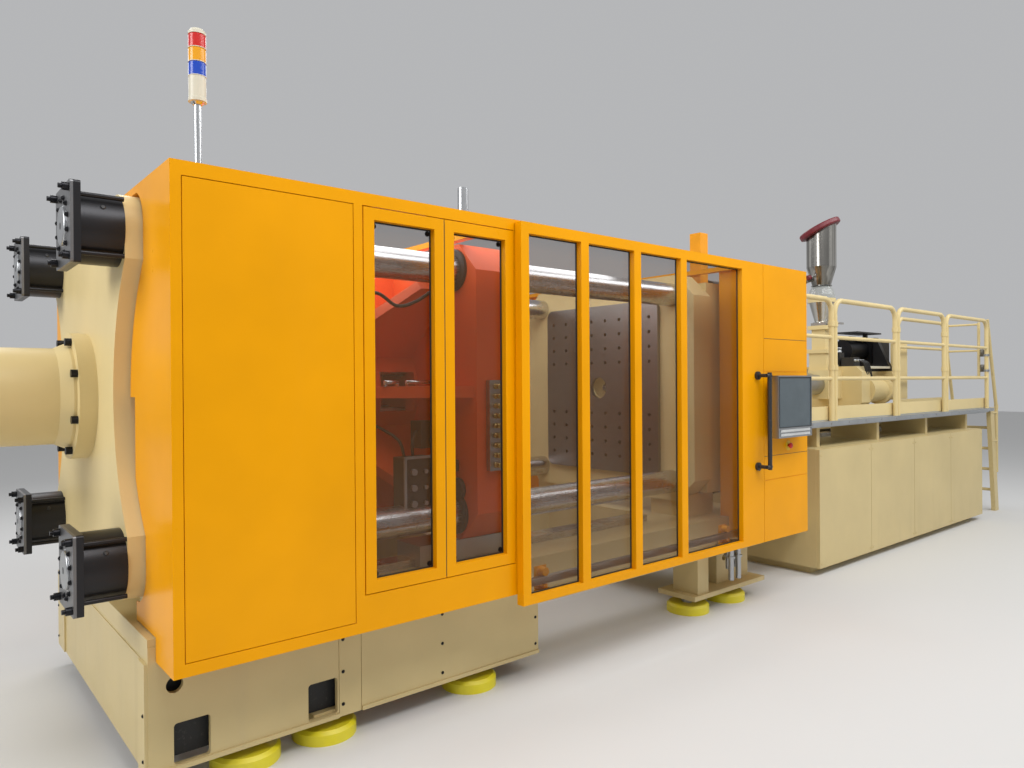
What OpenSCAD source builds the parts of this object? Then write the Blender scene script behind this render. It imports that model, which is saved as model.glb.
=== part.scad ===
// Two-platen injection moulding machine with a guarded clamp, an injection unit and a service platform.
// x runs along the machine towards the injection end, y runs from the operator's side to the rear.
// Stations are measured from the clamp guard's left end, the clamp centreline and the floor.

/* [Clamp] */
// Tie-bar spacing across the machine
bar_span_y = 1320; // [1280:10:1360]
// Tie-bar spacing in height
bar_span_z = 1290; // [1260:10:1300]
// Tie-bar diameter
bar_d = 156; // [130:2:170]
// Outer face of the end platen, left of the guard's end
end_face = 60; // [50:5:90]
// Thickness of the end platen
end_t = 420; // [380:10:460]
// Edge of the end platen outside the tie bars, across the machine
end_edge_y = 120; // [115:5:150]
// Edge of the end platen outside the tie bars, in height
end_edge_z = 150; // [135:5:155]
// Width of the end platen at its waist
waist_w = 1130; // [1000:10:1200]
// Radius of the hollow in the end platen's sides
waist_r = 760; // [700:10:820]
// Length of a tie-bar nut
nut_len = 150; // [120:5:180]
// Diameter of a tie-bar nut
nut_w = 270; // [250:5:280]
// Thickness of the square plate outside a nut
nut_plate = 34; // [25:1:45]
// Width of the square plate beyond the nut
nut_rim = 30; // [25:5:40]
// Radius of a nut's clamping rod
nut_rod_r = 9; // [7:0.5:10]
// Number of screws round the clamp cylinder's flange
flange_screw_n = 8; // [6:2:12]
// Outer radius of the clamp cylinder
cyl_r = 215; // [205:5:240]
// Length of the clamp cylinder outside the platen
cyl_len = 880; // [870:10:960]
// Radius of the clamp cylinder's flange
flange_r = 285; // [275:5:300]
// Thickness of the clamp cylinder's flange
flange_t = 70; // [50:5:90]
// Radius of the clamp ram
ram_r = 150; // [120:5:165]
// Wall at the closed end of the clamp cylinder
cyl_end = 40; // [30:5:60]
// Room behind the ram when the clamp is open
ram_room = 30; // [10:5:50]
// Clearance round a shaft that slides in a bore
slide_gap = 0.4; // [0.3:0.1:0.8]
// Clearance round a bar that is clamped in a bore
seat_gap = 0.2; // [0.1:0.1:0.4]

/* [Platens] */
// Mould face of the stationary platen
face_x = 3365; // [3350:5:3400]
// Thickness of the stationary platen
stat_t = 420; // [400:10:440]
// Edge of the platens outside the tie bars, across the machine
platen_edge_y = 190; // [170:5:200]
// Edge of the platens outside the tie bars, in height
platen_edge_z = 135; // [125:5:145]
// Height of the moving platen's shoes
shoe_h = 110; // [100:5:120]
// Size of the chamfer on the platens' corners
platen_chamfer = 150; // [120:5:170]
// Depth of the locating bore in the platens
locate_len = 45; // [40:5:60]
// Width of the machined mould face
plate_w = 1130; // [1100:10:1150]
// Height of the machined mould face
plate_h = 1240; // [1200:10:1260]
// Open space between the mould faces
daylight = 1480; // [1440:10:1500]
// Stroke of the moving platen
clamp_stroke = 1000; // [900:10:1050]
// Thickness of the moving platen's front wall
move_t = 330; // [300:10:350]
// Length of the column behind the moving platen
column_len = 690; // [660:10:700]
// Radius of the column behind the moving platen
column_r = 300; // [270:5:320]
// Thickness of the ribs on the castings
rib_t = 60; // [45:5:70]
// Radius of the locating bore in the platens
locate_r = 80; // [62.5:0.5:90]
// Radius of a mould bolt hole
hole_r = 13; // [10:0.5:15]
// Depth of a mould bolt hole
hole_depth = 50; // [40:5:60]
// Pitch of the mould bolt holes in height
hole_pitch_z = 105; // [100:5:110]
// Pitch of the mould bolt holes across the machine
hole_pitch_y = 140; // [130:5:145]

/* [Ejector] */
// Stroke of the ejector
eject_stroke = 180; // [120:10:200]
// Radius of an ejector rod
eject_r = 20; // [16:1:24]
// Spacing of the ejector rods across the machine
eject_y = 300; // [280:10:310]
// Spacing of the ejector rods in height
eject_z = 220; // [200:10:230]
// Thickness of the ejector plate
eject_t = 50; // [40:5:60]

/* [Base] */
// Underside of the base above the floor
base_z0 = 100; // [90:5:110]
// Top of the base
base_top = 610; // [590:5:620]
// Half the width of the base
base_half = 920; // [900:10:940]
// Left end of the base
base_left = 28; // [20:2:36]
// Length of the closed part of the base
base_box_len = 1900; // [1800:10:1950]
// Right end of the clamp base
base_right = 4100; // [4050:10:4150]
// Width of the base's side beams
beam_w = 400; // [380:10:420]
// Height of the base's side beams
beam_h = 250; // [220:10:260]
// Wall of the base's fabricated box
base_wall = 20; // [15:1:25]
// Thickness of the sheet panels
panel_t = 4; // [3:0.5:5]
// Radius of a foot pad
pad_r = 140; // [120:5:150]
// Height of a foot pad
pad_h = 60; // [50:5:65]
// Radius of a foot screw
screw_r = 24; // [18:1:28]
// Width of a guide rail on the base
way_w = 120; // [100:5:140]
// Height of a guide rail on the base
way_h = 40; // [30:2:45]
// Station of the first foot
foot_a = 370; // [350:5:390]
// Station of the second foot
foot_b = 720; // [700:5:740]
// Station of the third foot
foot_c = 1520; // [1500:5:1540]
// Station of the last foot
foot_d = 3790; // [3770:5:3810]
// Station of the first seam in the base's sheets
seam_a = 735; // [730:1:745]
// Station of the second seam in the base's sheets
seam_b = 843; // [838:1:850]
// Station of the first cable opening
cut_a = 128; // [120:1:135]
// Station of the second cable opening
cut_b = 662; // [655:1:662]
// Height of the cable openings
cut_h = 156; // [150:1:160]
// Width of the cable openings
cut_w = 134; // [130:1:136]

/* [Guard] */
// Half the depth of the clamp guard
guard_half = 1150; // [1140:5:1160]
// Height of the guard's top above the end platen
guard_room = 38; // [36:1:44]
// Underside of the left part of the guard
guard_z0 = 524; // [515:1:535]
// Underside of the gate
gate_z0 = 476; // [470:1:490]
// Depth of the guard's frame
frame_t = 50; // [40:2:60]
// Width of the guard's corner posts
post_w = 38; // [35:1:45]
// Right end of the large plain panel
big_panel_x = 703; // [690:1:710]
// Left end of the first window panel
window_x = 748; // [744:1:750]
// Width of each window panel
window_w = 400; // [385:1:400]
// Gap between guard panels
panel_gap = 5; // [4:0.5:7]
// Width of the window panels' frames
window_frame = 50; // [45:1:60]
// Lower edge of the window panels
window_z = 679; // [670:1:690]
// Distance from the window panels' top to the guard's top
window_drop = 56; // [50:1:70]
// Height of the guard's lower rail under the plain panel
sill_h = 46; // [40:1:60]
// Seam round the plain panels
seam_gap = 3; // [2:0.5:4]
// Left end of the gate
gate_x = 1560; // [1560:1:1570]
// Length of the gate
gate_len = 2113; // [2090:1:2115]
// Thickness of the gate
gate_t = 46; // [40:2:50]
// Width of the gate's right stile
gate_stile = 246; // [230:2:260]
// Width of the gate's mullions
mullion_w = 57; // [50:1:65]
// Height of the gate's top rail
gate_rail_top = 54; // [50:1:70]
// Height of the gate's bottom rail
gate_rail_low = 40; // [36:1:50]
// Clear width of the gate's right window
gate_window_w = 577; // [560:1:590]
// Thickness of the clear guard windows
glass_t = 8; // [6:1:10]
// How far the gate slides open
gate_stroke = 1350; // [1200:10:1400]
// Right end of the control box
box_right = 4240; // [4200:1:4300]
// Gap between the control box and the stationary platen
box_room = 10; // [8:1:40]
// Length of the gate's handle
handle_len = 595; // [560:5:620]
// Radius of the handle's tube
handle_r = 14; // [12:1:16]
// Height of the handle's lower end
handle_z = 985; // [960:5:1010]
// How far the handle's grip stands off the gate
handle_off = 68; // [60:1:80]
// Height of the tube post on the guard's top
tube_post_h = 242; // [220:2:260]
// Radius of the tube post
tube_post_r = 29; // [26:0.5:31]
// Distance of the tube post from the centreline
tube_post_y = 714; // [700:2:720]
// Width of the yellow post that stands on the stationary platen
platen_post_w = 90; // [80:2:92]
// Height of the yellow post above the stationary platen
platen_post_h = 330; // [300:5:350]

/* [Operator controls] */
// Width of the operator panel
hmi_w = 430; // [410:5:440]
// Height of the operator panel
hmi_h = 412; // [400:1:420]
// Lower edge of the operator panel
hmi_z = 1167; // [1150:1:1180]
// Thickness of the operator panel
hmi_t = 60; // [50:1:70]
// Radius of the emergency stop button
estop_r = 20; // [17:1:22]
// Travel of the emergency stop button
estop_travel = 6; // [4:0.5:7]
// Height of the emergency stop button
estop_z = 1100; // [1090:1:1110]
// Radius of the light tower's modules
tower_r = 33; // [30:1:36]
// Height of one light module
module_h = 56; // [50:1:60]
// Height of the light tower's pole
pole_h = 330; // [300:5:350]
// Radius of the light tower's pole
pole_r = 14; // [11:0.5:16]
// Height of the tower's cream body
tower_body_h = 112; // [100:1:125]

/* [Injection unit] */
// Left end of the injection base
inj_x0 = 4829; // [4800:1:4900]
// Right end of the injection base
inj_x1 = 8449; // [8400:1:8500]
// Half the width of the injection base
inj_half = 985; // [970:5:990]
// Top of the injection base's cabinet
inj_top = 1000; // [980:5:1010]
// Radius of the barrel
barrel_r = 105; // [95:1:115]
// Radius of the screw
screw_shaft_r = 50; // [40:1:55]
// Stroke of the screw
screw_stroke = 300; // [250:10:320]
// Stroke of the injection carriage
carriage_stroke = 350; // [250:10:370]
// Number of heater bands
band_n = 9; // [6:1:10]
// Width of a heater band
band_w = 150; // [120:5:160]
// Station of the hopper's axis
hopper_x = 6809; // [6790:1:6840]
// Radius of the hopper's drum
drum_r = 148; // [140:1:160]
// Height of the hopper's lower cone
cone_h = 208; // [200:2:216]
// Height of the hopper's clear sight section
sight_h = 135; // [125:5:145]
// Height of the hopper's upper cone
funnel_h = 193; // [180:1:200]
// Height of the hopper's drum at its axis
drum_h = 377; // [360:1:390]
// Radius of the hopper's lid
lid_r = 215; // [205:5:225]
// Slope of the hopper's lid
lid_tilt = 26; // [20:1:30]
// Height of the feed throat above the screw's axis
throat_h = 620; // [612:2:624]
// Wall of the hopper's sheet metal
hopper_wall = 3; // [2:0.5:4]
// Travel of the hopper's shut-off slide
shutoff_travel = 120; // [100:5:130]
// Radius of the screw drive motor
motor_r = 115; // [105:5:125]
// Length of the screw drive motor
motor_len = 450; // [420:5:470]
// Height of the motor's axis above the screw's
motor_rise = 366; // [356:2:376]
// Width of the motor's flange
motor_flange = 280; // [270:5:300]
// Length of the drive's cover
cover_len = 330; // [310:5:340]
// Half the width of the cross plate at the motor
cross_half = 170; // [160:5:180]
// Edge of the cross plate above and below the injection cylinders
cross_edge = 110; // [100:5:115]
// Height of the cross plate above the motor's axis
cross_rise = 150; // [140:2:156]
// Distance of the injection cylinders from the centreline
inj_cyl_y = 260; // [250:5:265]
// Drop of the injection cylinders below the screw's axis
inj_cyl_drop = 66; // [60:2:72]
// Outer radius of the injection cylinder
inj_cyl_r = 155; // [150:5:160]

/* [Platform] */
// Walking surface above the floor
deck_z = 1220; // [1210:5:1230]
// Front edge of the platform
deck_y = 940; // [930:5:950]
// Width of the platform
deck_w = 520; // [500:5:524]
// Left end of the platform
deck_x0 = 4410; // [4400:5:4450]
// Right end of the platform
deck_x1 = 8980; // [8970:1:9000]
// Height of the handrail above the deck
rail_h = 1010; // [1000:5:1070]
// Radius of a handrail tube
rail_r = 21; // [18:0.5:24]
// Bend radius of a handrail corner
rail_bend = 110; // [90:5:130]
// Height of the toe board
toe_h = 110; // [100:5:120]
// Number of ladder rungs
rung_n = 4; // [3:1:5]
// Distance the ladder's foot stands out from the deck
ladder_run = 260; // [240:5:280]
// Station of the second handrail post
post_b = 5205; // [5190:5:5220]
// Station of the third handrail post
post_c = 6425; // [6410:5:6440]
// Station of the fourth handrail post
post_d = 7600; // [7585:5:7615]
// Distance from the last handrail post to the deck's end
post_end = 121; // [110:1:130]
// First bracket of the platform, from the injection base's end
bracket_x = 200; // [150:10:250]
// Pitch of the platform's brackets
bracket_pitch = 1100; // [1050:10:1110]

/* [Hidden] */
$fn = 48;
cream = [0.87, 0.80, 0.62];
amber = [0.95, 0.64, 0.02];
orange = [0.78, 0.27, 0.12];
steel = [0.62, 0.63, 0.64];
chrome = [0.80, 0.81, 0.83];
black = [0.07, 0.07, 0.08];
lime = [0.85, 0.83, 0.12];
smoke = [0.35, 0.30, 0.24, 0.45];

end_w = bar_span_y + 2 * end_edge_y;
end_h = bar_span_z + 2 * end_edge_z;
platen_w = bar_span_y + 2 * platen_edge_y;
platen_h = bar_span_z + 2 * platen_edge_z;
axis_h = base_top + shoe_h + platen_h / 2;
side_rib_h = bar_span_z + bar_d + 16;
guard_top = axis_h + end_h / 2 + guard_room;
window_top = guard_top - window_drop;
bar_r = bar_d / 2;
cyl_x0 = -end_face - cyl_len;
end_x1 = -end_face + end_t;
stat_x1 = face_x + stat_t;
move_face = face_x - daylight;
move_back = move_face - move_t;
column_back = move_back - column_len;
ram_x0 = cyl_x0 + cyl_end + ram_room;
nut_x0 = -end_face - nut_len;
bar_x0 = nut_x0 - nut_plate;
bar_x1 = stat_x1 + nut_len;
gate_y0 = guard_half + 4 + gate_t;
gate_y1 = guard_half + 4;
gate_x1 = gate_x + gate_len;
gate_top = guard_top - 14;
box_x0 = gate_x1 + 4;
rail_top = deck_z + rail_h;
hmi_gap = 40;
hmi_pin_r = 7.5;
box_depth = gate_y0 - platen_w / 2 - box_room;
x_mid = (cyl_x0 + deck_x1 + ladder_run) / 2;
y_mid = (handle_off + handle_r - hmi_gap - hmi_t) / 2;
box_z0 = base_top - beam_h;
base_y0 = base_half - beam_w;
way_x1 = move_face + clamp_stroke + 240;
track_x0 = gate_x + 130 - gate_stroke;
frame_h = 30;
platen_z0 = axis_h - platen_h / 2;
way_y = bar_span_y / 2 - 60;
track_y = guard_half - frame_t;
track_w = 30;
track_h = 36;
wheel_r = 22;
wheel_z = guard_z0 + track_h + 0.3 + wheel_r;
roller_r = 12;
arm_z = gate_z0 + 6;
plate_half = (nut_w + nut_rim) / 2;
window_places = [window_x, window_x + window_w + panel_gap];
gate_pitch = (gate_x1 - gate_stile - gate_window_w - gate_x - window_frame) / 3;
gate_windows = [
    for (i = [0:2]) [gate_x + window_frame + i * gate_pitch,
        gate_x + window_frame + (i + 1) * gate_pitch - mullion_w],
    [gate_x1 - gate_stile - gate_window_w, gate_x1 - gate_stile]];
estop_x = box_x0 + 300;
estop_stem_r = 8;
hmi_x = box_x0 + 10;
hmi_hinge_x = hmi_x + hmi_w - 40;
tower_x = 203;
tower_y = -800;
eject_side = 45;
eject_cyl_r = 70;
eject_rod_r = 35;
ram_flange_r = 185;
ram_flange_t = 120;
bay_n = 4;
bay_w = (inj_x1 - inj_x0) / bay_n;
rail_y = 330;
sled_z0 = inj_top + 40.3;
saddle_x = 5000;
housing_x0 = hopper_x + 150;
housing_len = 200;
inj_cyl_z = axis_h - inj_cyl_drop;
motor_z = axis_h + motor_rise;
inj_rod_r = 50;
cross_w = 2 * inj_cyl_y + 2 * cross_edge + 20;
cyl_x1 = housing_x0 + 680;
inj_rod_x0 = cyl_x1 - screw_stroke - 60;
shoe_x1 = cyl_x1 - 100;
cross_x0 = cyl_x1 + 60;
screw_x1 = cross_x0 + 230;
nozzle_x0 = face_x + 60;
barrel_x0 = stat_x1 + 60;
band_pitch = (hopper_x - 260 - barrel_x0) / band_n;
throat_top = axis_h + throat_h;
cone_z1 = throat_top + 38 + cone_h;
cone_flange_t = 40;
sight_z0 = cone_z1 + cone_flange_t;
sight_r = 92;
drum_z = sight_z0 + sight_h + 6 + funnel_h;
lid_turn = -60;
rail_mid = [deck_z + 340, deck_z + 680];
sleeve_z = [deck_z + 430, deck_z + 790];
posts = [deck_x0 + 40, post_b, post_c, post_d, deck_x1 - post_end];
inner_y = -deck_y + deck_w;
inner_x0 = post_d;
front_rail_y = -deck_y + rail_r + 4;
post_off = rail_r + 8;
gate_post_x = posts[4] - post_off;
gate_pin_x = gate_post_x + 56;
gate_pin_y = front_rail_y + 56;
gate_end_y = inner_y - 70;
gate_pin_r = 6;
hinge_z = [deck_z + 410, deck_z + 586];
swing_z = [deck_z + 328, deck_z + 980];
rail_slope = ladder_run - 110;
rail_x = 215;
rail_lean = 16;
eject_x0 = move_back - eject_stroke - eject_t;

// Moves a piece from machine stations to the frame whose origin is under the middle of the machine.
module placed() translate([-x_mid, -y_mid, 0]) children();

// Extrudes an outline drawn in y and z along the machine.
module along_x(x0, len) translate([x0, 0, 0]) rotate([90, 0, 90]) linear_extrude(len) children();

// Extrudes an outline drawn in x and z across the machine, from y0 towards the rear.
module along_y(y0, len) translate([0, y0 + len, 0]) rotate([90, 0, 0]) linear_extrude(len) children();

// A box from its low corner to its high corner.
module block(a, b) translate(a) cube(b - a);

// A round bar along the machine.
module bar_x(x0, len, r, y = 0, z = 0) translate([x0, y, z]) rotate([0, 90, 0]) cylinder(h = len, r = r);

// A round bar across the machine.
module bar_y(y0, len, r, x = 0, z = 0) translate([x, y0, z]) rotate([-90, 0, 0]) cylinder(h = len, r = r);

// Puts a piece on each of the four tie-bar axes.
module at_bars() for (sy = [-1, 1], sz = [-1, 1])
    translate([0, sy * bar_span_y / 2, axis_h + sz * bar_span_z / 2]) children();

// A copy on each side of the centreline.
module both_sides() {
    children();
    mirror([0, 1, 0]) children();
}

// A rectangle with round corners, drawn from its middle.
module round_rect(w, h, r) {
    square([w - 2 * r, h], center = true);
    square([w, h - 2 * r], center = true);
    for (sx = [-1, 1], sy = [-1, 1])
        translate([sx * (w / 2 - r), sy * (h / 2 - r)]) circle(r);
}

// A rectangle with its corners cut off at 45 degrees, drawn from its middle.
module cut_rect(w, h, c) polygon([
    [-w / 2 + c, -h / 2], [w / 2 - c, -h / 2], [w / 2, -h / 2 + c], [w / 2, h / 2 - c],
    [w / 2 - c, h / 2], [-w / 2 + c, h / 2], [-w / 2, h / 2 - c], [-w / 2, -h / 2 + c]]);

// The end platen's outline, wider by a gap: four round ears, with each side drawn in to a waist.
module ear_outline(gap = 0) {
    ear_r = 140;
    top_sink = 95;
    top_r = 900;
    difference() {
        round_rect(end_w + 2 * gap, end_h + 2 * gap, ear_r);
        for (s = [-1, 1])
            translate([s * (waist_w / 2 + waist_r + gap), 0]) circle(waist_r, $fn = 96);
        for (s = [-1, 1])
            translate([0, s * (end_h / 2 - top_sink + top_r + gap)]) circle(top_r, $fn = 96);
    }
}

// The mould bolt holes' grid, as places in y and z on a platen.
module at_mould_holes() {
    first_row = 190;
    for (sy = [-1, 1], sz = [-1, 1], i = [0:3], j = [0:3])
        translate([sy * (hole_pitch_y / 2 + i * hole_pitch_y), sz * (first_row + j * hole_pitch_z)])
            children();
}

// Cast cream platen that carries the clamp cylinder and the tie-bar nuts.
module end_platen() placed() color(cream) difference() {
    union() {
        along_x(-end_face, end_t) translate([0, axis_h]) ear_outline();
        for (s = [-1, 1]) translate([0, s * (way_y + 40), 0])
            block([40, -110, base_top], [end_x1 - 30, 110, axis_h - end_h / 2 + 120]);
    }
    at_bars() bar_x(-end_face - 1, end_t + 2, bar_r + seat_gap);
    bar_x(-end_face - 1, end_t + 2, ram_r + slide_gap, z = axis_h);
}

// Clamp cylinder with its bolted flange, a seam ring and a closed end.
module clamp_cylinder() placed() color(cream) translate([0, 0, axis_h]) rotate([0, 90, 0])
    translate([0, 0, cyl_x0]) rotate_extrude($fn = 96) polygon([
        [0, 0], [cyl_r - 60, 0], [cyl_r - 18, 18], [cyl_r, 60], [cyl_r, 420], [cyl_r + 14, 432],
        [cyl_r + 14, 470], [cyl_r, 482], [cyl_r, cyl_len - flange_t - 60],
        [cyl_r + 22, cyl_len - flange_t - 12], [cyl_r + 22, cyl_len - flange_t],
        [flange_r, cyl_len - flange_t], [flange_r, cyl_len],
        [ram_r + slide_gap, cyl_len], [ram_r + slide_gap, cyl_end], [0, cyl_end]]);

// Socket screws round the clamp cylinder's flange.
module flange_screws() for (i = [0.5:flange_screw_n - 0.5])
    translate([0, 0, axis_h]) rotate([i * 360 / flange_screw_n, 0, 0])
        bar_x(-end_face - flange_t - 26, 26, 17, y = (flange_r + cyl_r) / 2 + 10);

// Four chromed tie bars.
module tie_bars() placed() color(chrome) at_bars() bar_x(bar_x0, bar_x1 - bar_x0, bar_r);

// Round black nuts with square end plates, at both ends of the tie bars.
module tie_bar_nuts() placed() color(black) at_bars() difference() {
    union() {
        bar_x(nut_x0 - 1, nut_len + 1, nut_w / 2, $fn = 64);
        along_x(nut_x0 - nut_plate, nut_plate) round_rect(2 * plate_half, 2 * plate_half, 12);
        for (sy = [-1, 1], sz = [-1, 1])
            bar_x(nut_x0 - 1, nut_len + 1, nut_rod_r, y = sy * (plate_half - 42), z = sz * (plate_half - 42));
        bar_x(stat_x1, nut_len, nut_w / 2, $fn = 64);
    }
    bar_x(bar_x0 - 1, bar_x1 - bar_x0 + 2, bar_r + seat_gap);
}

// Clamping screws that stand out of the nuts' square end plates.
module plate_screws() at_bars() for (sy = [-1, 1], sz = [-1, 1])
    translate([bar_x0, sy * (plate_half - 26), sz * (plate_half - 26)]) {
        bar_x(-22, 22, 15);
        bar_x(-34, 12, 9);
    }

// Black screws of the clamp cylinder and the tie-bar nuts.
module clamp_bolts() placed() color(black) {
    flange_screws();
    plate_screws();
}

// Cream stationary platen: ribbed casting with a machined mould face, bolt holes and a sprue bore.
module stationary_platen() placed() color(cream) difference() {
    union() {
        along_x(face_x + 30, 190) translate([0, axis_h]) cut_rect(platen_w, platen_h, platen_chamfer);
        along_x(face_x, 30) translate([0, axis_h]) round_rect(plate_w, plate_h, 60);
        for (s = [-1, 1]) along_x(face_x + 220, stat_t - 220)
            translate([s * bar_span_y / 2, axis_h]) square([nut_w + 40, side_rib_h], center = true);
        for (s = [-1, 0, 1]) along_x(face_x + 220, stat_t - 300)
            translate([0, axis_h + s * platen_h / 3]) square([platen_w - 420, rib_t], center = true);
        bar_x(face_x + 200, stat_t - 200, 330, z = axis_h);
        for (s = [-1, 1]) translate([0, s * way_y, 0])
            block([face_x + 60, -150, base_top], [stat_x1 - 40, 150, platen_z0 + 40]);
    }
    at_bars() bar_x(face_x - 1, stat_t + 2, bar_r + seat_gap);
    bar_x(face_x - 1, stat_t + 2, locate_r, z = axis_h);
    bar_x(face_x + locate_len, stat_t, 230, z = axis_h);
    along_x(face_x - 1, hole_depth + 1) translate([0, axis_h]) at_mould_holes() circle(hole_r, $fn = 16);
}

// Orange moving platen with its column and the ribs that spread from it.
module moving_platen() placed() color(orange) difference() {
    union() {
        along_x(move_back, move_t - 30)
            translate([0, axis_h]) cut_rect(platen_w, platen_h, platen_chamfer);
        along_x(move_face - 30, 30) translate([0, axis_h]) round_rect(plate_w, plate_h, 60);
        bar_x(column_back, column_len + 1, column_r, z = axis_h, $fn = 72);
        column_ribs();
    }
    at_bars() bar_x(move_back - 1, move_t + 2, bar_r + 1.5);
    at_bars() bar_x(move_back - column_len, column_len, bar_r + 45);
    bar_x(move_face - locate_len, locate_len + 1, locate_r, z = axis_h);
    bar_x(column_back - 1, ram_flange_t + 1, ram_flange_r + 5, z = axis_h);
    bar_x(column_back, eject_x0 - column_back, eject_cyl_r + seat_gap, z = axis_h);
    at_ejector() bar_x(move_back + 60, move_t, eject_r + slide_gap);
    translate([0, 0, axis_h]) ejector_room();
    along_x(move_face - hole_depth, hole_depth + 1)
        translate([0, axis_h]) at_mould_holes() circle(hole_r, $fn = 16);
}

// Eight webs from the column to the platen's corners and sides.
module column_ribs() {
    small = 120;
    for (s = [-1, 1]) {
        translate([0, 0, axis_h]) rotate([s * 45, 0, 0]) along_y(-rib_t / 2, rib_t) polygon([
            [move_back, -1000], [move_back, 1000], [column_back + small, 300],
            [column_back + small, -300]]);
        translate([0, 0, axis_h]) along_y(-rib_t / 2, rib_t) polygon([
            [move_back, s * 760], [column_back + small, s * 300], [move_back, 0]]);
    }
    translate([0, 0, axis_h]) rotate([90, 0, 0]) along_y(-rib_t / 2, rib_t) polygon([
        [move_back, -830], [move_back, 830], [column_back + small, 300], [column_back + small, -300]]);
}

// Puts a piece on each ejector rod's axis.
module at_ejector() for (sy = [-1, 1], sz = [-1, 1])
    translate([0, sy * eject_y / 2, axis_h + sz * eject_z / 2]) children();

// The room in the column that the ejector plate travels in, about the clamp axis, open at both sides.
module ejector_room() {
    block([eject_x0 - 30, -eject_y / 2 - eject_side, -eject_z / 2 - eject_side],
        [move_back + 60, eject_y / 2 + eject_side, eject_z / 2 + eject_side]);
    block([eject_x0 - 10, -column_r - 60, -eject_z / 2],
        [move_back - 20, column_r + 60, eject_z / 2]);
}

// Hardened ram that the clamp cylinder drives the moving platen with.
module clamp_ram() placed() color(chrome) union() {
    bar_x(ram_x0, column_back - ram_x0, ram_r, z = axis_h);
    bar_x(column_back, ram_flange_t, ram_flange_r, z = axis_h);
}

// Bronze-faced shoes that carry the moving platen on the guide rails.
module platen_shoes() placed() color(steel) both_sides() difference() {
    block([move_back - 260, way_y - 110, base_top + 0.3], [move_face - 60, way_y + 110, platen_z0]);
    block([move_back - 261, way_y - way_w / 2 - 1, base_top], [move_face, way_y + way_w / 2 + 1,
        base_top + way_h + 0.4]);
}

// Plate that pushes the ejector rods, with the cylinder's piston rod.
module ejector_plate() placed() color(steel) translate([0, 0, axis_h]) union() {
    block([eject_x0, -eject_y / 2 - eject_side + 5, -eject_z / 2 - eject_side + 5],
        [eject_x0 + eject_t, eject_y / 2 + eject_side - 5, eject_z / 2 + eject_side - 5]);
    bar_x(eject_x0 - eject_stroke - 45, eject_stroke + 46, eject_rod_r);
}

// Four ejector rods that run through the moving platen.
module ejector_rods() placed() color(chrome) at_ejector()
    bar_x(eject_x0 + eject_t, move_face - 12 - eject_x0 - eject_t, eject_r);

// Hydraulic cylinder in the column that drives the ejector plate.
module ejector_cylinder() placed() color(black) difference() {
    bar_x(column_back + ram_flange_t, eject_x0 - 25 - column_back - ram_flange_t, eject_cyl_r, z = axis_h);
    bar_x(eject_x0 - eject_stroke - 55, eject_stroke + 60, eject_rod_r + slide_gap, z = axis_h);
}

// Fabricated clamp base: a closed box at the left, side beams past the mould and a pedestal at the right.
module clamp_base() placed() color(cream) {
    base_body();
    both_sides() for (f = feet) if (f[0] < base_box_len)
        block([f[0] - 90, f[1] - 90, base_z0], [f[0] + 90, base_half - base_wall, base_z0 + 30]);
}

// The base's box, beams and pedestal, with their openings.
module base_body() difference() {
    union() {
        block([-base_left, -base_half, base_z0], [base_box_len, base_half, base_top]);
        both_sides() block([base_box_len - 1, base_y0, box_z0], [base_right, base_half, base_top]);
        pedestal();
        both_sides() block([base_right - 1, base_y0 + 60, box_z0 + 30], [inj_x0, base_half - 60,
            base_top - 30]);
    }
    block([-base_left + base_wall, -base_half + base_wall, base_z0 - 1],
        [base_box_len - base_wall, base_half - base_wall, base_top - 60]);
    block([end_x1 + 60, -base_y0, base_z0], [base_box_len - 120, base_y0, base_top + 1]);
    both_sides() base_openings(3 * base_wall);
    pedestal_holes();
}

// The pedestal below the stationary platen, with a pillar at each side and a foot plate.
module pedestal() {
    ped_x0 = face_x - 40;
    block([ped_x0, -base_half + 60, box_z0], [base_right, base_half - 60, base_top]);
    both_sides() {
        block([ped_x0 + 330, base_half - 200, base_z0], [base_right - 60, base_half - 80, box_z0 + 1]);
        block([ped_x0, base_half - 200, base_z0], [ped_x0 + 120, base_half, box_z0 + 1]);
        block([ped_x0 - 60, base_half - 280, base_z0], [base_right, base_half + 20, base_z0 + 30]);
    }
}

// Round access holes through the pedestal's webs.
module pedestal_holes() for (x = [face_x + 380, face_x + 560])
    bar_y(-base_half, 2 * base_half, 22, x = x, z = box_z0 - 60);

// The cable openings in the base's front wall, as deep as d.
module base_openings(d) {
    y0 = base_half - d / 2;
    bar_y(y0, d, 31, x = 65, z = 423);
    for (x = [cut_a, cut_b]) along_y(y0, d) translate([x, base_z0 + 98]) round_rect(cut_w, cut_h, 14);
}

// Sheet panels over the base's long sides, with the cable openings cut in them.
module side_sheets() both_sides() {
    difference() {
        for (x = [[-base_left, seam_a], [seam_a + seam_gap, seam_b], [seam_b + seam_gap, base_box_len]])
            block([x[0], base_half, base_z0], [x[1], base_half + panel_t, base_top - 30]);
        base_openings(60);
    }
    for (x = [[-base_left, seam_a], [seam_b + seam_gap, base_box_len]])
        block([x[0], base_half + panel_t - 1, base_z0], [x[1], base_half + 3 * panel_t, base_z0 + 18]);
}

// Sheet covers of the clamp base.
module base_panels() placed() color(cream) {
    side_sheets();
    end_sheet();
}

// Sheet cover over the base's left end, with folded edges.
module end_sheet() union() {
    block([-base_left - panel_t, -base_half, base_z0 + 10], [-base_left, base_half, base_top - 90]);
    for (y = [[-base_half, -base_half + 91], [base_half - 181, base_half]])
        block([-base_left - 12, y[0], base_z0 + 10], [-base_left - panel_t + 1, y[1], base_top - 90]);
}

// Places of the feet: station along the machine and distance from the centreline.
feet = [for (x = [foot_a, foot_b, foot_c, face_x, foot_d]) [x, base_half - 110]];

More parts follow.
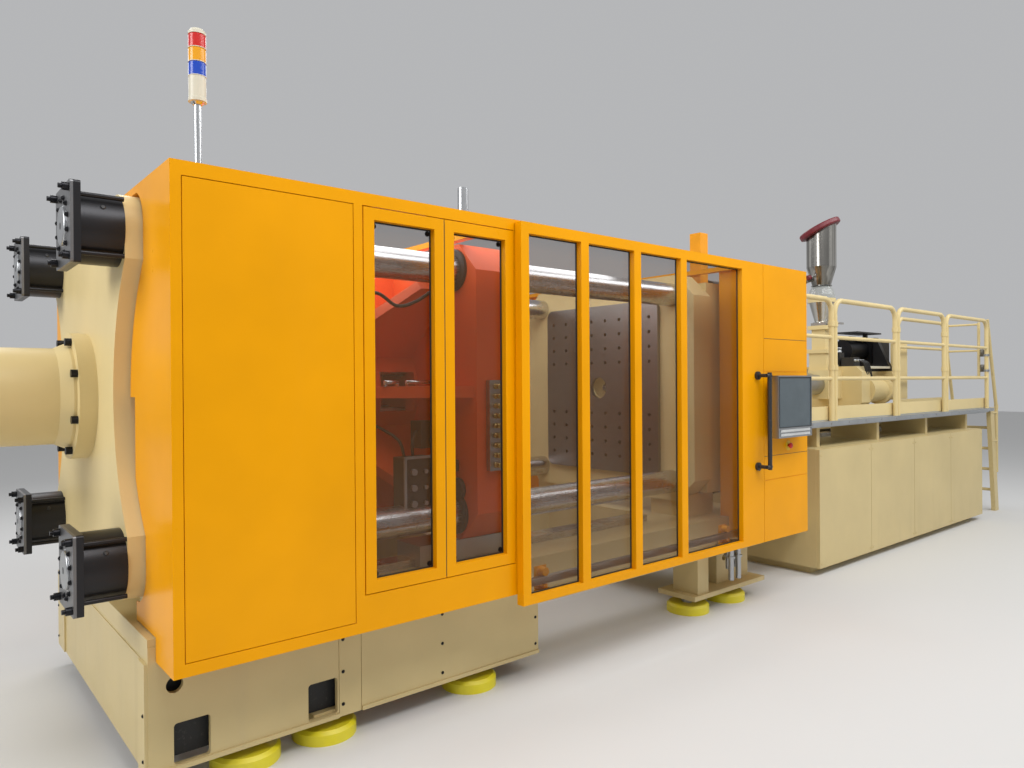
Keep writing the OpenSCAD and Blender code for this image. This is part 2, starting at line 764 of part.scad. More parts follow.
// Round foot pads with their levelling screws and lock nuts.
module levelling_feet() placed() color(lime) {
    pads();
    foot_screws();
}

// Round pads with a chamfered rim.
module pads() both_sides() for (f = feet) translate([f[0], f[1], 0]) {
    cylinder(h = pad_h - 14, r = pad_r);
    translate([0, 0, pad_h - 14]) cylinder(h = 14, r1 = pad_r, r2 = pad_r - 14);
}

// Levelling screws and lock nuts between the pads and the base.
module foot_screws() both_sides() for (f = feet) translate([f[0], f[1], pad_h]) {
    cylinder(h = base_z0 - pad_h, r = screw_r);
    cylinder(h = 18, r = 44, $fn = 6);
}

// Hardened guide rails for the moving platen's shoes and for the injection carriage.
module guide_rails() placed() color(chrome) both_sides() {
    block([end_x1 + 60, way_y - way_w / 2, base_top], [way_x1, way_y + way_w / 2, base_top + way_h]);
    block([inj_x0 + 60, rail_y - 30, inj_top], [shoe_x1 + carriage_stroke + 40, rail_y + 30, inj_top + 40]);
}

// Folded sheet frame of the clamp guard: posts, long rails and cross members.
module guard_frame() placed() color(amber) union() {
    both_sides() {
        for (x = [[0, post_w], [big_panel_x, window_x - panel_gap]])
            block([x[0], guard_half - frame_t, guard_z0], [x[1], guard_half, guard_top]);
        block([gate_x - 5, guard_half - frame_t, guard_z0], [gate_x + 45, guard_half, guard_top]);
        block([0, guard_half - frame_t, window_top + 4], [box_x0, guard_half, guard_top]);
        block([0, guard_half - frame_t, guard_z0], [big_panel_x + 1, guard_half, guard_z0 + sill_h]);
        block([big_panel_x, guard_half - frame_t, guard_z0], [gate_x, guard_half, window_z - 4]);
        for (z = [guard_z0 + sill_h - 1, window_top - 26])
            block([0, guard_half - frame_t, z], [big_panel_x + 1, guard_half - 20, z + 31]);
        window_lugs();
    }
    for (x = [0, gate_x - 5, box_x0 - frame_t])
        block([x, -guard_half, guard_top - frame_h], [x + frame_t, guard_half, guard_top]);
}

// Lugs that the window panels are screwed to.
module window_lugs() for (x = window_places, dx = [20, window_w - 60]) {
    block([x + dx, guard_half - frame_t, window_z - 5], [x + dx + 40, guard_half - 36, window_z + 12]);
    block([x + dx, guard_half - frame_t, window_top - 12], [x + dx + 40, guard_half - 36, window_top + 5]);
}

// Guard panel over the left end, cut away for the end platen.
module guard_end_panel() placed() color(amber) difference() {
    block([0, -guard_half + frame_t, guard_z0], [panel_t, guard_half - frame_t, guard_top - frame_h]);
    along_x(-1, panel_t + 2) translate([0, axis_h]) union() {
        ear_outline(15);
        translate([0, -end_h / 2]) square([end_w - 260, end_h], center = true);
    }
    block([-1, -base_half - 5, 0], [frame_t, base_half + 5, base_top + 5]);
}

// Large plain guard panels beside the end platen, the sheet roof over it and the rear cabinet.
module guard_side_panels() placed() color(amber) union() {
    rear_cabinet();
    both_sides() block([post_w + seam_gap, guard_half - 20, guard_z0 + sill_h + seam_gap],
        [big_panel_x - seam_gap, guard_half - 1, window_top + 4 - seam_gap]);
    block([frame_t, -guard_half + frame_t, guard_top - panel_t],
        [big_panel_x, guard_half - frame_t, guard_top]);
}

// A window panel's frame from station x0, drawn on the operator's side.
module window_frame_at(x0) difference() {
    block([x0, -guard_half, window_z], [x0 + window_w, -guard_half + 36, window_top]);
    block([x0 + window_frame, -guard_half - 1, window_z + window_frame],
        [x0 + window_w - window_frame, -guard_half + 37, window_top - window_frame]);
}

// Two bolted window panels between the plain panel and the gate, on both sides of the clamp.
module window_panels() placed() color(amber) both_sides()
    for (x = window_places) window_frame_at(x);

// Smoked clear sheets behind the window panels' frames.
module panel_windows() placed() color(smoke) both_sides() for (x = window_places)
    block([x + 12, -guard_half + 36, window_z + 14], [x + window_w - 12, -guard_half + 36 + glass_t,
        window_top - 14]);

// A gate on the operator's side: two stiles, rails and three mullions round four windows.
module gate_body() difference() {
    block([gate_x, -gate_y0, gate_z0], [gate_x1, -gate_y1, gate_top]);
    for (w = gate_windows) block([w[0], -gate_y0 - 1, gate_z0 + gate_rail_low],
        [w[1], -gate_y1 + 1, gate_top - gate_rail_top]);
    for (w = gate_windows) block([w[0] - 14, -gate_y1 - glass_t - 1, gate_z0 + gate_rail_low - 14],
        [w[1] + 14, -gate_y1 + 1, gate_top - gate_rail_top + 14]);
}

// The windows of a gate, let into its frame from inside.
module gate_glass() for (w = gate_windows)
    block([w[0] - 13.5, -gate_y1 - glass_t, gate_z0 + gate_rail_low - 13.5],
        [w[1] + 13.5, -gate_y1, gate_top - gate_rail_top + 13.5]);

// A tubular handle with a foot at each end, on a gate's right stile.
module handle_bar() {
    x = gate_x1 - 40;
    feet_z = [handle_z, handle_z + handle_len];
    for (z = feet_z) {
        bar_y(-gate_y0 - 16, 16, 27, x = x - 40, z = z);
        bar_y(-gate_y0 - handle_off, handle_off, 12, x = x - 40, z = z);
        bar_x(x - 40, 40 + handle_r, 12, y = -gate_y0 - handle_off, z = z);
    }
    translate([x, -gate_y0 - handle_off, handle_z - 20]) cylinder(h = handle_len + 40, r = handle_r);
}

// Two brackets that reach under the guard, each with a wheel on the track and a roller below it.
module runners() for (x = [gate_x + 200, gate_x1 - 300]) {
    block([x, -gate_y1 - 4, arm_z], [x + 80, -track_y + track_w + 20, arm_z + 10]);
    block([x, -track_y + track_w + 14, arm_z], [x + 80, -track_y + track_w + 20, wheel_z + 24]);
    bar_y(-track_y + 2, track_w + 15, wheel_r, x = x + 40, z = wheel_z);
    bar_y(-track_y + 2, track_w + 15, roller_r, x = x + 40, z = guard_z0 - 0.3 - roller_r);
}

// Sliding gate on the operator's side.
module operator_gate() placed() color(amber) {
    gate_body();
    runners();
}

// Windows of the operator's gate.
module operator_gate_windows() placed() color(smoke) gate_glass();

// Black tubular handle of the operator's gate.
module gate_handle() placed() color(black) handle_bar();

// Sliding gate at the rear.
module rear_gate() placed() color(amber) mirror([0, 1, 0]) {
    gate_body();
    runners();
}

// Windows of the rear gate.
module rear_gate_windows() placed() color(smoke) mirror([0, 1, 0]) gate_glass();

// Black tubular handle of the rear gate.
module rear_gate_handle() placed() color(black) mirror([0, 1, 0]) handle_bar();

// Steel tracks behind the guard's lower rails that the gates roll on.
module gate_tracks() placed() color(steel) both_sides()
    block([track_x0, -track_y, guard_z0], [box_x0, -track_y + track_w, guard_z0 + track_h]);

// Outline of the boxes at the guard's right end, cut away below where they stand on the base.
module cabinet_shape() difference() {
    block([box_x0, -gate_y0, gate_z0], [box_right, -gate_y0 + box_depth, gate_top]);
    block([box_x0 - 1, -base_half - 6, gate_z0 - 1], [box_right + 1, 0, base_top]);
}

// Control box at the guard's right end: a sheet housing with two seams and a folded top.
module control_box() placed() color(amber) difference() {
    cabinet_shape();
    for (z = [hmi_z - 285, hmi_z + hmi_h + 25])
        block([box_x0 - 1, -gate_y0 - 1, z], [box_right + 1, -gate_y0 + 3, z + 4]);
    bar_y(-gate_y0 - 1, estop_travel + 30, estop_stem_r + slide_gap, x = estop_x, z = estop_z);
}

// Rear cabinet at the guard's right end.
module rear_cabinet() mirror([0, 1, 0]) cabinet_shape();

// Red mushroom button of the emergency stop, on its stem.
module estop_button() placed() color("red") {
    bar_y(-gate_y0 - 8 - estop_travel - 1, 30, estop_stem_r, x = estop_x, z = estop_z);
    translate([estop_x, -gate_y0 - 9 - estop_travel, estop_z]) rotate([90, 0, 0])
        rotate_extrude() polygon([[0, 0], [estop_r - 3, 0], [estop_r, 4], [estop_r, 9],
            [estop_r - 6, 15], [0, 18]]);
}

// Swivel arm that holds the operator panel off the control box.
module hmi_arm() placed() color(steel) difference() {
    union() {
        block([hmi_hinge_x - 30, -gate_y0 - 10, hmi_z + 60], [hmi_hinge_x + 40, -gate_y0,
            hmi_z + hmi_h - 60]);
        for (z = [hmi_z + 80, hmi_z + hmi_h - 120]) translate([hmi_hinge_x, -gate_y0 - 24, z])
            cylinder(h = 40, r = 14);
        for (z = [hmi_z + 80, hmi_z + hmi_h - 120])
            block([hmi_hinge_x - 11, -gate_y0 - 24, z], [hmi_hinge_x + 11, -gate_y0 - 9, z + 40]);
    }
    translate([hmi_hinge_x, -gate_y0 - 24, hmi_z]) cylinder(h = hmi_h, r = hmi_pin_r + slide_gap);
}

// Hinge bracket and pin on the operator panel's back.
module hmi_bracket() {
    y = -gate_y0 - 24;
    translate([hmi_hinge_x, y, hmi_z + 60]) cylinder(h = hmi_h - 120, r = hmi_pin_r);
    for (z = [hmi_z + 122, hmi_z + hmi_h - 162]) {
        translate([hmi_hinge_x, y, z]) cylinder(h = 40, r = 13);
        block([hmi_hinge_x, -gate_y0 - hmi_gap, z], [hmi_hinge_x + 22, y - 2, z + 40]);
    }
}

// Silver operator panel with its hinge bracket.
module hmi_panel() placed() color(steel) {
    hmi_housing();
    hmi_bracket();
}

// Housing of the operator panel, with a lip round the screen and two grooves below it.
module hmi_housing() difference() {
    block([hmi_x, -gate_y0 - hmi_gap - hmi_t, hmi_z], [hmi_x + hmi_w, -gate_y0 - hmi_gap, hmi_z + hmi_h]);
    block([hmi_x + 12, -gate_y0 - hmi_gap - hmi_t - 1, hmi_z + 70],
        [hmi_x + hmi_w - 12, -gate_y0 - hmi_gap - hmi_t + 8, hmi_z + hmi_h - 12]);
    for (z = [hmi_z + 12, hmi_z + 40])
        block([hmi_x + 12, -gate_y0 - hmi_gap - hmi_t - 1, z],
            [hmi_x + hmi_w - 12, -gate_y0 - hmi_gap - hmi_t + 3, z + 18]);
}

// Dark screen in the operator panel.
module hmi_screen() placed() color([0.3, 0.34, 0.37])
    block([hmi_x + 12.2, -gate_y0 - hmi_gap - hmi_t + 3, hmi_z + 70.2],
        [hmi_x + hmi_w - 12.2, -gate_y0 - hmi_gap - hmi_t + 8, hmi_z + hmi_h - 12.2]);

// Light tower's pole, cream body and cap.
module tower_stand() placed() color(cream) {
    tower_pole();
    tower_body();
    tower_cap();
}

// Pole of the light tower.
module tower_pole() translate([tower_x, tower_y, guard_top]) {
    cylinder(h = pole_h, r = pole_r);
    cylinder(h = 8, r = 40);
}

// Cream body of the light tower.
module tower_body() translate([tower_x, tower_y, guard_top + pole_h])
    rotate_extrude() polygon([[0, 0], [18, 0], [tower_r - 6, 10], [tower_r + 2, 12], [tower_r + 2, 24],
        [tower_r, 26], [tower_r, tower_body_h], [0, tower_body_h]]);

// One lamp module of the light tower, counted upwards from the body.
module lamp(n) translate([tower_x, tower_y, guard_top + pole_h + tower_body_h + n * module_h])
    rotate_extrude() polygon([[0, 0], [tower_r, 0], [tower_r, module_h - 5], [tower_r - 2, module_h],
        [0, module_h]]);

// Blue, amber and red lamps of the light tower.
module tower_lamps() placed() {
    color("blue") lamp(0);
    color("orange") lamp(1);
    color("red") lamp(2);
}

// Grey cap on the light tower.
module tower_cap()
    translate([tower_x, tower_y, guard_top + pole_h + tower_body_h + 3 * module_h])
        rotate_extrude() polygon([[0, 0], [tower_r, 0], [tower_r, 10], [tower_r - 8, 20], [0, 24]]);

// Posts on the guard's top: a bright tube and a folded yellow post.
module top_posts() placed() color(steel) {
    translate([gate_x + 15, -tube_post_y, guard_top]) cylinder(h = tube_post_h, r = tube_post_r);
    block([stat_x1 - 10 - platen_post_w, -bar_span_y / 2 - 40, axis_h + side_rib_h / 2],
        [stat_x1 - 10, platen_post_w - bar_span_y / 2 - 40, axis_h + platen_h / 2 + platen_post_h]);
}

// Injection base: a closed fabricated cabinet on a recessed plinth.
module injection_base() placed() color(cream) union() {
    block([inj_x0, -inj_half + 30, 60], [inj_x1, inj_half - 30, inj_top]);
    block([inj_x0 + 60, -inj_half + 110, 0], [inj_x1 - 60, inj_half - 110, 61]);
}

// Sheet panels on the injection cabinet's long sides, one for each bay.
module cabinet_panels() placed() color(cream) both_sides() for (i = [0:bay_n - 1])
    block([inj_x0 + i * bay_w + 3, inj_half - 29.7, 60], [inj_x0 + (i + 1) * bay_w - 3, inj_half,
        inj_top - 4]);

// Cream injection carriage: a sled with a barrel saddle and the rear housing.
module carriage() placed() color(cream) difference() {
    union() {
        block([hopper_x - 360, -rail_y - 70, sled_z0 + 30], [cyl_x1, rail_y + 70, sled_z0 + 80]);
        both_sides() for (x = [hopper_x - 340, shoe_x1 - 200])
            block([x, rail_y - 60, sled_z0], [x + 200, rail_y + 60, sled_z0 + 31]);
        both_sides() block([saddle_x, rail_y - 60, sled_z0], [saddle_x + 180, rail_y + 60, sled_z0 + 31]);
        both_sides() block([saddle_x + 60, rail_y - 60, sled_z0 + 30],
            [hopper_x - 350, rail_y - 10, sled_z0 + 70]);
        block([saddle_x + 40, -rail_y - 60, sled_z0 + 30], [saddle_x + 140, rail_y + 60, sled_z0 + 60]);
        along_x(saddle_x + 50, 80) polygon([[-rail_y, sled_z0 + 59], [rail_y, sled_z0 + 59],
            [150, axis_h], [150, axis_h + 90], [-150, axis_h + 90], [-150, axis_h]]);
        along_x(housing_x0, housing_len) translate([0, axis_h - 30]) cut_rect(700, 440, 60);
        along_x(housing_x0, 120) translate([0, sled_z0 + 190]) square([560, 320], center = true);
    }
    bar_x(saddle_x, 300, barrel_r + seat_gap, z = axis_h);
    bar_x(housing_x0 - 1, housing_len + 2, 75, z = axis_h);
}

// Barrel of the injection unit.
module barrel() placed() color(steel) difference() {
    bar_x(barrel_x0, housing_x0 - barrel_x0, barrel_r, z = axis_h);
    bar_x(barrel_x0 + 40, housing_x0 - barrel_x0, screw_shaft_r + 0.5, z = axis_h);
    translate([hopper_x, 0, axis_h]) cylinder(h = barrel_r + 1, r = 45);
}

// Heater bands round the barrel, each with its terminal box.
module heater_bands() placed() color([0.55, 0.45, 0.35]) for (i = [0:band_n - 1])
    translate([barrel_x0 + 120 + i * band_pitch, 0, axis_h]) difference() {
        union() {
            bar_x(0, band_w, barrel_r + 14);
            block([band_w / 2 - 25, -22, barrel_r + 5], [band_w / 2 + 25, 22, barrel_r + 60]);
            block([10, barrel_r + 8, -14], [band_w - 10, barrel_r + 24, 14]);
        }
        bar_x(-1, band_w + 2, barrel_r + 0.2);
    }

// Nozzle and its adaptor, which reach through the stationary platen.
module nozzle() placed() color(steel) translate([0, 0, axis_h]) rotate([0, 90, 0])
    translate([0, 0, nozzle_x0]) rotate_extrude() polygon([
        [8, 0], [16, 0], [34, 22], [34, 260], [62, 290], [62, barrel_x0 - nozzle_x0 - 60],
        [95, barrel_x0 - nozzle_x0 - 60], [95, barrel_x0 - nozzle_x0], [8, barrel_x0 - nozzle_x0]]);

// Screw shaft with its flight land, turned by the drive.
module screw() placed() color(chrome) union() {
    bar_x(barrel_x0 + 60, 90, screw_shaft_r - 12, z = axis_h);
    bar_x(barrel_x0 + 150, screw_x1 - barrel_x0 - 150, screw_shaft_r, z = axis_h);
}

// Two injection cylinders beside the screw's axis, with stepped ends.
module injection_cylinders() placed() color(cream) both_sides() translate([0, inj_cyl_y, inj_cyl_z])
    rotate([0, 90, 0]) translate([0, 0, housing_x0 + housing_len]) rotate_extrude() {
        cyl_l = cyl_x1 - housing_x0 - housing_len;
        polygon([[inj_rod_r + 0.4, 0], [inj_cyl_r - 15, 0], [inj_cyl_r - 15, 30], [inj_cyl_r - 30, 36],
            [inj_cyl_r - 30, cyl_l - 110], [inj_cyl_r, cyl_l - 100], [inj_cyl_r, cyl_l - 46],
            [inj_cyl_r - 34, cyl_l - 40], [inj_cyl_r - 34, cyl_l], [inj_rod_r + 0.4, cyl_l]]);
    }

// Piston rods and the cross plate that push the screw.
module cross_plate() placed() color(steel) difference() {
    union() {
        both_sides() bar_x(inj_rod_x0, cross_x0 + 1 - inj_rod_x0, inj_rod_r,
            y = inj_cyl_y, z = inj_cyl_z);
        along_x(cross_x0, 70) polygon([[-cross_w / 2, inj_cyl_z - cross_edge],
            [cross_w / 2, inj_cyl_z - cross_edge], [cross_w / 2, inj_cyl_z + cross_edge],
            [cross_half, motor_z + cross_rise], [-cross_half, motor_z + cross_rise],
            [-cross_w / 2, inj_cyl_z + cross_edge]]);
    }
    bar_x(cross_x0 - 1, 72, screw_shaft_r + 1, z = axis_h);
    bar_x(cross_x0 - 1, 72, 31, z = motor_z);
}

// Black screw drive motor with its flange.
module drive_motor() placed() color(black) union() {
    bar_x(cross_x0 - motor_len, motor_len - 40, motor_r, z = motor_z);
    along_x(cross_x0 - 40, 40) translate([0, motor_z]) round_rect(motor_flange, motor_flange, 20);
    along_x(cross_x0 - motor_len + 60, 150) translate([0, motor_z + motor_r])
        square([motor_r, 90], center = true);
    bar_x(cross_x0, 120, 30, z = motor_z);
}

// Black cover over the drive's belt.
module drive_cover() placed() color(black) difference() {
    along_x(cross_x0 + 70, cover_len) translate([0, (axis_h + motor_z) / 2])
        round_rect(300, motor_rise + 290, 50);
    along_x(cross_x0 + 69, cover_len - 9) translate([0, (axis_h + motor_z) / 2])
        round_rect(280, motor_rise + 270, 40);
}

// Cream feed throat between the barrel and the hopper.
module feed_throat() placed() color(cream) difference() {
    union() {
        block([hopper_x - 150, -140, axis_h - 150], [housing_x0, 140, axis_h + 150]);
        block([hopper_x - 95, -95, axis_h + 149], [hopper_x + 95, 95, throat_top - 290]);
        block([hopper_x - 115, -115, throat_top - 291], [hopper_x + 115, 115, throat_top - 250]);
        block([hopper_x - 74, -74, throat_top - 251], [hopper_x + 74, 74, throat_top - 40]);
        block([hopper_x - 105, -105, throat_top - 41], [hopper_x + 105, 105, throat_top]);
    }
    bar_x(hopper_x - 200, 500, barrel_r + seat_gap, z = axis_h);
    translate([hopper_x, 0, axis_h]) cylinder(h = 1000, r = 45);
}

// Shut-off housing below the hopper, with a slot for its slide.
module shutoff_body() difference() {
    block([hopper_x - 80, -80, throat_top], [hopper_x + 80, 80, throat_top + 30]);
    translate([hopper_x, 0, throat_top - 1]) cylinder(h = 40, r = 45);
    block([hopper_x - 60.4, -81, throat_top + 11.7], [hopper_x + 60.4, 81, throat_top + 18.3]);
}

// Sliding plate that shuts the hopper off, pulled towards the operator.
module shutoff_slide() placed() color(chrome) difference() {
    union() {
        block([hopper_x - 60, -83 - shutoff_travel, throat_top + 12],
            [hopper_x + 60, 78, throat_top + 18]);
        block([hopper_x - 45, -95 - shutoff_travel, throat_top + 5],
            [hopper_x + 45, -83 - shutoff_travel, throat_top + 25]);
    }
    translate([hopper_x, 0, throat_top]) cylinder(h = 30, r = 45);
}

// A cone or tube of sheet metal on the hopper's axis, from r0 at z0 to r1 at z1.
module hopper_shell(z0, z1, r0, r1) translate([hopper_x, 0, 0]) rotate_extrude() polygon([
    [r0 - hopper_wall, z0], [r0, z0], [r1, z1], [r1 - hopper_wall, z1]]);

// Flat ring on the hopper's axis.
module hopper_ring(z0, t, r0, r1) translate([hopper_x, 0, z0]) difference() {
    cylinder(h = t, r = r1);
    translate([0, 0, -1]) cylinder(h = t + 2, r = r0);
}

// Stainless lower cone of the hopper.
module hopper_cone() placed() color(steel) union() {
    shutoff_body();
    hopper_shell(throat_top + 37, cone_z1, 68, 125);
    hopper_ring(throat_top + 29, 9, 45, 90);
    hopper_ring(cone_z1 - 1, cone_flange_t + 1, 118, 140);
}

// Clear domed sight section above the cone.
module hopper_sight() placed() color([0.7, 0.74, 0.72, 0.5]) translate([hopper_x, 0, sight_z0])
    rotate_extrude() polygon([[126, 0], [136, 0], [134, 40], [118, 95], [sight_r, sight_h],
        [sight_r - 8, sight_h], [110, 93], [126, 38]]);

// Moves a piece drawn on a level top to the sloping top of the hopper.
module on_lid() translate([hopper_x, 0, drum_z + drum_h]) rotate([0, -lid_tilt, lid_turn]) children();

// Stainless upper cone and drum of the hopper, the drum cut off at a slope.
module hopper_drum() placed() color(steel) union() {
    hopper_ring(sight_z0 + sight_h, 6, sight_r - 8, sight_r + 12);
    hopper_shell(drum_z - funnel_h - 1, drum_z, sight_r, drum_r);
    difference() {
        hopper_shell(drum_z, drum_z + drum_h + drum_r, drum_r, drum_r);
        on_lid() block([-400, -400, 0], [400, 400, 400]);
    }
}

// Dark red lid on the drum's sloping top.
module hopper_lid() placed() color([0.4, 0.05, 0.09]) on_lid() rotate_extrude($fn = 72) polygon([
    [0, 0], [lid_r - 22, 0], [lid_r - 4, 8], [lid_r, 16], [lid_r, 48], [lid_r - 6, 58], [lid_r - 30, 62],
    [0, 66]]);

// A handrail section along x from height z0: two posts, a bent top rail and two straight rails.
module rail_section(x0, x1, z0) {
    top = rail_top - rail_r;
    for (x = [x0, x1]) translate([x, 0, z0]) cylinder(h = top - rail_bend - z0, r = rail_r);
    translate([x0 + rail_bend, 0, top - rail_bend]) rotate([90, 0, 0]) bend(90);
    translate([x1 - rail_bend, 0, top - rail_bend]) rotate([90, 0, 0]) bend(0);
    bar_x(x0 + rail_bend, x1 - x0 - 2 * rail_bend, rail_r, z = top);
    for (z = rail_mid) bar_x(x0, x1 - x0, rail_r - 5, z = z);
}

// A quarter bend of rail tube that starts at an angle.
module bend(start) rotate([0, 0, start]) rotate_extrude(angle = 90)
    translate([rail_bend, 0]) circle(rail_r);

// Cream handrails along the platform's front and its inner end.
module handrails() placed() color(cream) {
    rail_fittings();
    for (i = [0:3]) translate([0, front_rail_y, 0])
        rail_section(posts[i] + post_off, posts[i + 1] - post_off, deck_z - 8);
    translate([0, inner_y - rail_r - 8, 0]) rail_section(inner_x0, deck_x1 - 80, deck_z);
}

// Sleeves that join neighbouring handrail posts.
module rail_fittings() for (i = [1:3], z = sleeve_z)
    translate([posts[i], front_rail_y, z - 22]) {
        for (s = [-1, 1]) translate([s * post_off, 0, 0]) cylinder(h = 44, r = rail_r + 5);
        block([-post_off, -8, 6], [post_off, 8, 38]);
    }

// Platform deck with its side channels and the edge strip along its front.
module platform_deck() placed() color(steel) union() {
    block([deck_x0, -deck_y, deck_z - 45], [deck_x1, -deck_y + 51, deck_z - 8]);
    block([deck_x0, -deck_y + 50, deck_z - 30], [deck_x1, inner_y, deck_z]);
    block([deck_x0, -deck_y + 50, deck_z - 60], [deck_x1, -deck_y + 110, deck_z - 29]);
    block([deck_x0, inner_y - 60, deck_z - 60], [deck_x1, inner_y, deck_z - 29]);
}

// Cream toe boards inside the handrails.
module toe_boards() placed() color(cream) {
    block([deck_x0 + 40, -deck_y + 52, deck_z], [deck_x1 - 90, -deck_y + 58, deck_z + toe_h]);
    block([inner_x0, inner_y - 6, deck_z], [deck_x1 - 10, inner_y, deck_z + toe_h]);
}

// Brackets that hold the platform up on the injection cabinet.
module platform_brackets() {
    for (x = [inj_x0 + bracket_x, inj_x0 + bracket_x + bracket_pitch,
        inj_x0 + bracket_x + 2 * bracket_pitch, inj_x1 - 120])
        block([x, -deck_y + 80, inj_top], [x + 50, inner_y - 10, deck_z - 60]);
}

// Brackets and ladder of the platform: the ladder's stringers carry the deck's far end.
module platform_legs() placed() color(cream) {
    platform_brackets();
    ladder();
}

// Ladder at the platform's end: two stringers, round rungs and a tube rail on each side.
module ladder() union() {
    for (y = [-deck_y + 54, inner_y - 34]) along_y(y - 22, 44) polygon([
        [deck_x1, deck_z - 5], [deck_x1, deck_z - 105], [deck_x1 + rail_slope, 0],
        [deck_x1 + ladder_run, 0], [deck_x1 + 111, deck_z - 5]]);
    for (i = [1:rung_n]) bar_y(-deck_y + 60, inner_y + deck_y - 100, 17,
        x = deck_x1 + 50 + rail_slope * (1 - i / (rung_n + 1)), z = deck_z * i / (rung_n + 1));
    ladder_rail(-deck_y + 40, 1050);
    ladder_rail(inner_y - 22, 880);
}

// A tube rail beside the ladder: upright below the deck's level and leaning in to the platform above it.
module ladder_rail(y, top) translate([deck_x1 + rail_x, y, 0]) {
    translate([0, 0, 450]) cylinder(h = deck_z - 450, r = rail_r - 3);
    translate([0, 0, deck_z - 20]) cylinder(h = 44, r = rail_r);
    translate([0, 0, deck_z]) rotate([0, -rail_lean, 0]) cylinder(h = top, r = rail_r - 3);
    for (z = [deck_z - 70, deck_z - 400]) bar_x(60 - rail_x, rail_x - 60, 12, z = z);
}

// Hinge clamps and pins of the platform's gate, on the handrail's last post.
module gate_hinges() placed() color(steel) for (z = hinge_z) translate([0, 0, z]) {
    translate([gate_pin_x, gate_pin_y, 0]) cylinder(h = 70, r = gate_pin_r);
    difference() {
        union() {
            translate([gate_post_x, front_rail_y, 0]) cylinder(h = 24, r = rail_r + 8);
            block([gate_post_x, front_rail_y - 9, 0], [gate_pin_x + 9, front_rail_y + 9, 12]);
            block([gate_pin_x - 9, front_rail_y - 9, 0], [gate_pin_x + 9, gate_pin_y + 9, 12]);
        }
        translate([gate_post_x, front_rail_y, -1]) cylinder(h = 30, r = rail_r + seat_gap);
    }
}

// Self-closing gate across the platform's end: a tube frame on two hinge knuckles.
module platform_gate() placed() color(cream) difference() {
    union() {
        for (z = hinge_z) translate([gate_pin_x, gate_pin_y, z + 14]) {
            cylinder(h = 50, r = 15);
            block([-6, 0, 5], [6, 40, 45]);
        }
        for (y = [gate_pin_y + 40, gate_end_y]) translate([gate_pin_x, y, swing_z[0]])
            cylinder(h = swing_z[1] - swing_z[0], r = 15);
        for (z = [swing_z[0] + 22, (swing_z[0] + swing_z[1]) / 2, swing_z[1] - 22])
            bar_y(gate_pin_y + 40, gate_end_y - gate_pin_y - 40, 12, x = gate_pin_x, z = z);
    }
    for (z = hinge_z) translate([gate_pin_x, gate_pin_y, z])
        cylinder(h = 90, r = gate_pin_r + slide_gap);
}

// Water manifold under the gate: upright silver headers with flanges and a bracket.
module water_manifold() placed() color(steel) union() {
    for (i = [0:3]) translate([3560 + i * 42, -base_half - 100 + (i % 2) * 50, 0]) {
        translate([0, 0, 210 + (i % 2) * 60]) cylinder(h = gate_z0 - 230 - (i % 2) * 60, r = 18);
        translate([0, 0, gate_z0 - 120]) cylinder(h = 14, r = 26);
    }
    block([3530, -base_half - 130, gate_z0 - 60], [3720, -base_half, gate_z0 - 30]);
}

end_platen();
clamp_cylinder();
tie_bars();
tie_bar_nuts();
clamp_bolts();
stationary_platen();
moving_platen();
clamp_ram();
platen_shoes();
ejector_plate();
ejector_rods();
ejector_cylinder();
clamp_base();
base_panels();
levelling_feet();
guide_rails();
guard_frame();
guard_end_panel();
guard_side_panels();
window_panels();
panel_windows();
operator_gate();
operator_gate_windows();
gate_handle();
rear_gate();
rear_gate_windows();
rear_gate_handle();
gate_tracks();
control_box();
estop_button();
hmi_arm();
hmi_panel();
hmi_screen();
tower_stand();
tower_lamps();
top_posts();
injection_base();
cabinet_panels();
carriage();
barrel();
heater_bands();
nozzle();
screw();
injection_cylinders();
cross_plate();
drive_motor();
drive_cover();
feed_throat();
shutoff_slide();
hopper_cone();
hopper_sight();
hopper_drum();
hopper_lid();
handrails();
platform_deck();
toe_boards();
platform_legs();
gate_hinges();
platform_gate();
water_manifold();
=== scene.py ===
# %% [markdown]
# # Dressing an injection moulding machine
# The machine comes in as a finished model: every casting, panel and tube already has its real size.
# This lesson gives each surface its finish, then adds the small things that make a machine look
# used and real: screws, gaskets, hoses, seams and fittings.

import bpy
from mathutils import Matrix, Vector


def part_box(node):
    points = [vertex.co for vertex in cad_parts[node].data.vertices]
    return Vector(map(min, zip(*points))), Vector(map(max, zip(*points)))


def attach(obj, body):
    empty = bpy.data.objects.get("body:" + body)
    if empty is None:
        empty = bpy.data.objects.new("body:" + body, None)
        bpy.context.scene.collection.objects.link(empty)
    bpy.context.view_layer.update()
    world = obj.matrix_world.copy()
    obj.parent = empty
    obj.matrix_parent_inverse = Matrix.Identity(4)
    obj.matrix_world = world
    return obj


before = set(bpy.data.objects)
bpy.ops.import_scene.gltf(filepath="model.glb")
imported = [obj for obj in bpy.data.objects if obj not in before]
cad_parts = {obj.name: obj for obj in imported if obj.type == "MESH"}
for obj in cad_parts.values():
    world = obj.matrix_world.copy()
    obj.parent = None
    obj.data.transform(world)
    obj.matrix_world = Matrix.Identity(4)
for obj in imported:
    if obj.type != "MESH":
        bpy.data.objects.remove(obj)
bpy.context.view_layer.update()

# %% Tools
import bpy
import bmesh
import math
from mathutils import Matrix, Vector

scene = bpy.context.scene

# %% [markdown]
# ## Stations
# A machine builder measures everything from one end of the guard and from the clamp's centreline.
# The same habit keeps this script readable, so one helper turns stations in millimetres into
# Blender's metres.

# %% Stations in millimetres
guard_lo, guard_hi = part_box("guard_frame")
bars_lo, bars_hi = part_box("tie_bars")
CENTRE_Y = (bars_lo.y + bars_hi.y) / 2
START_X = guard_lo.x


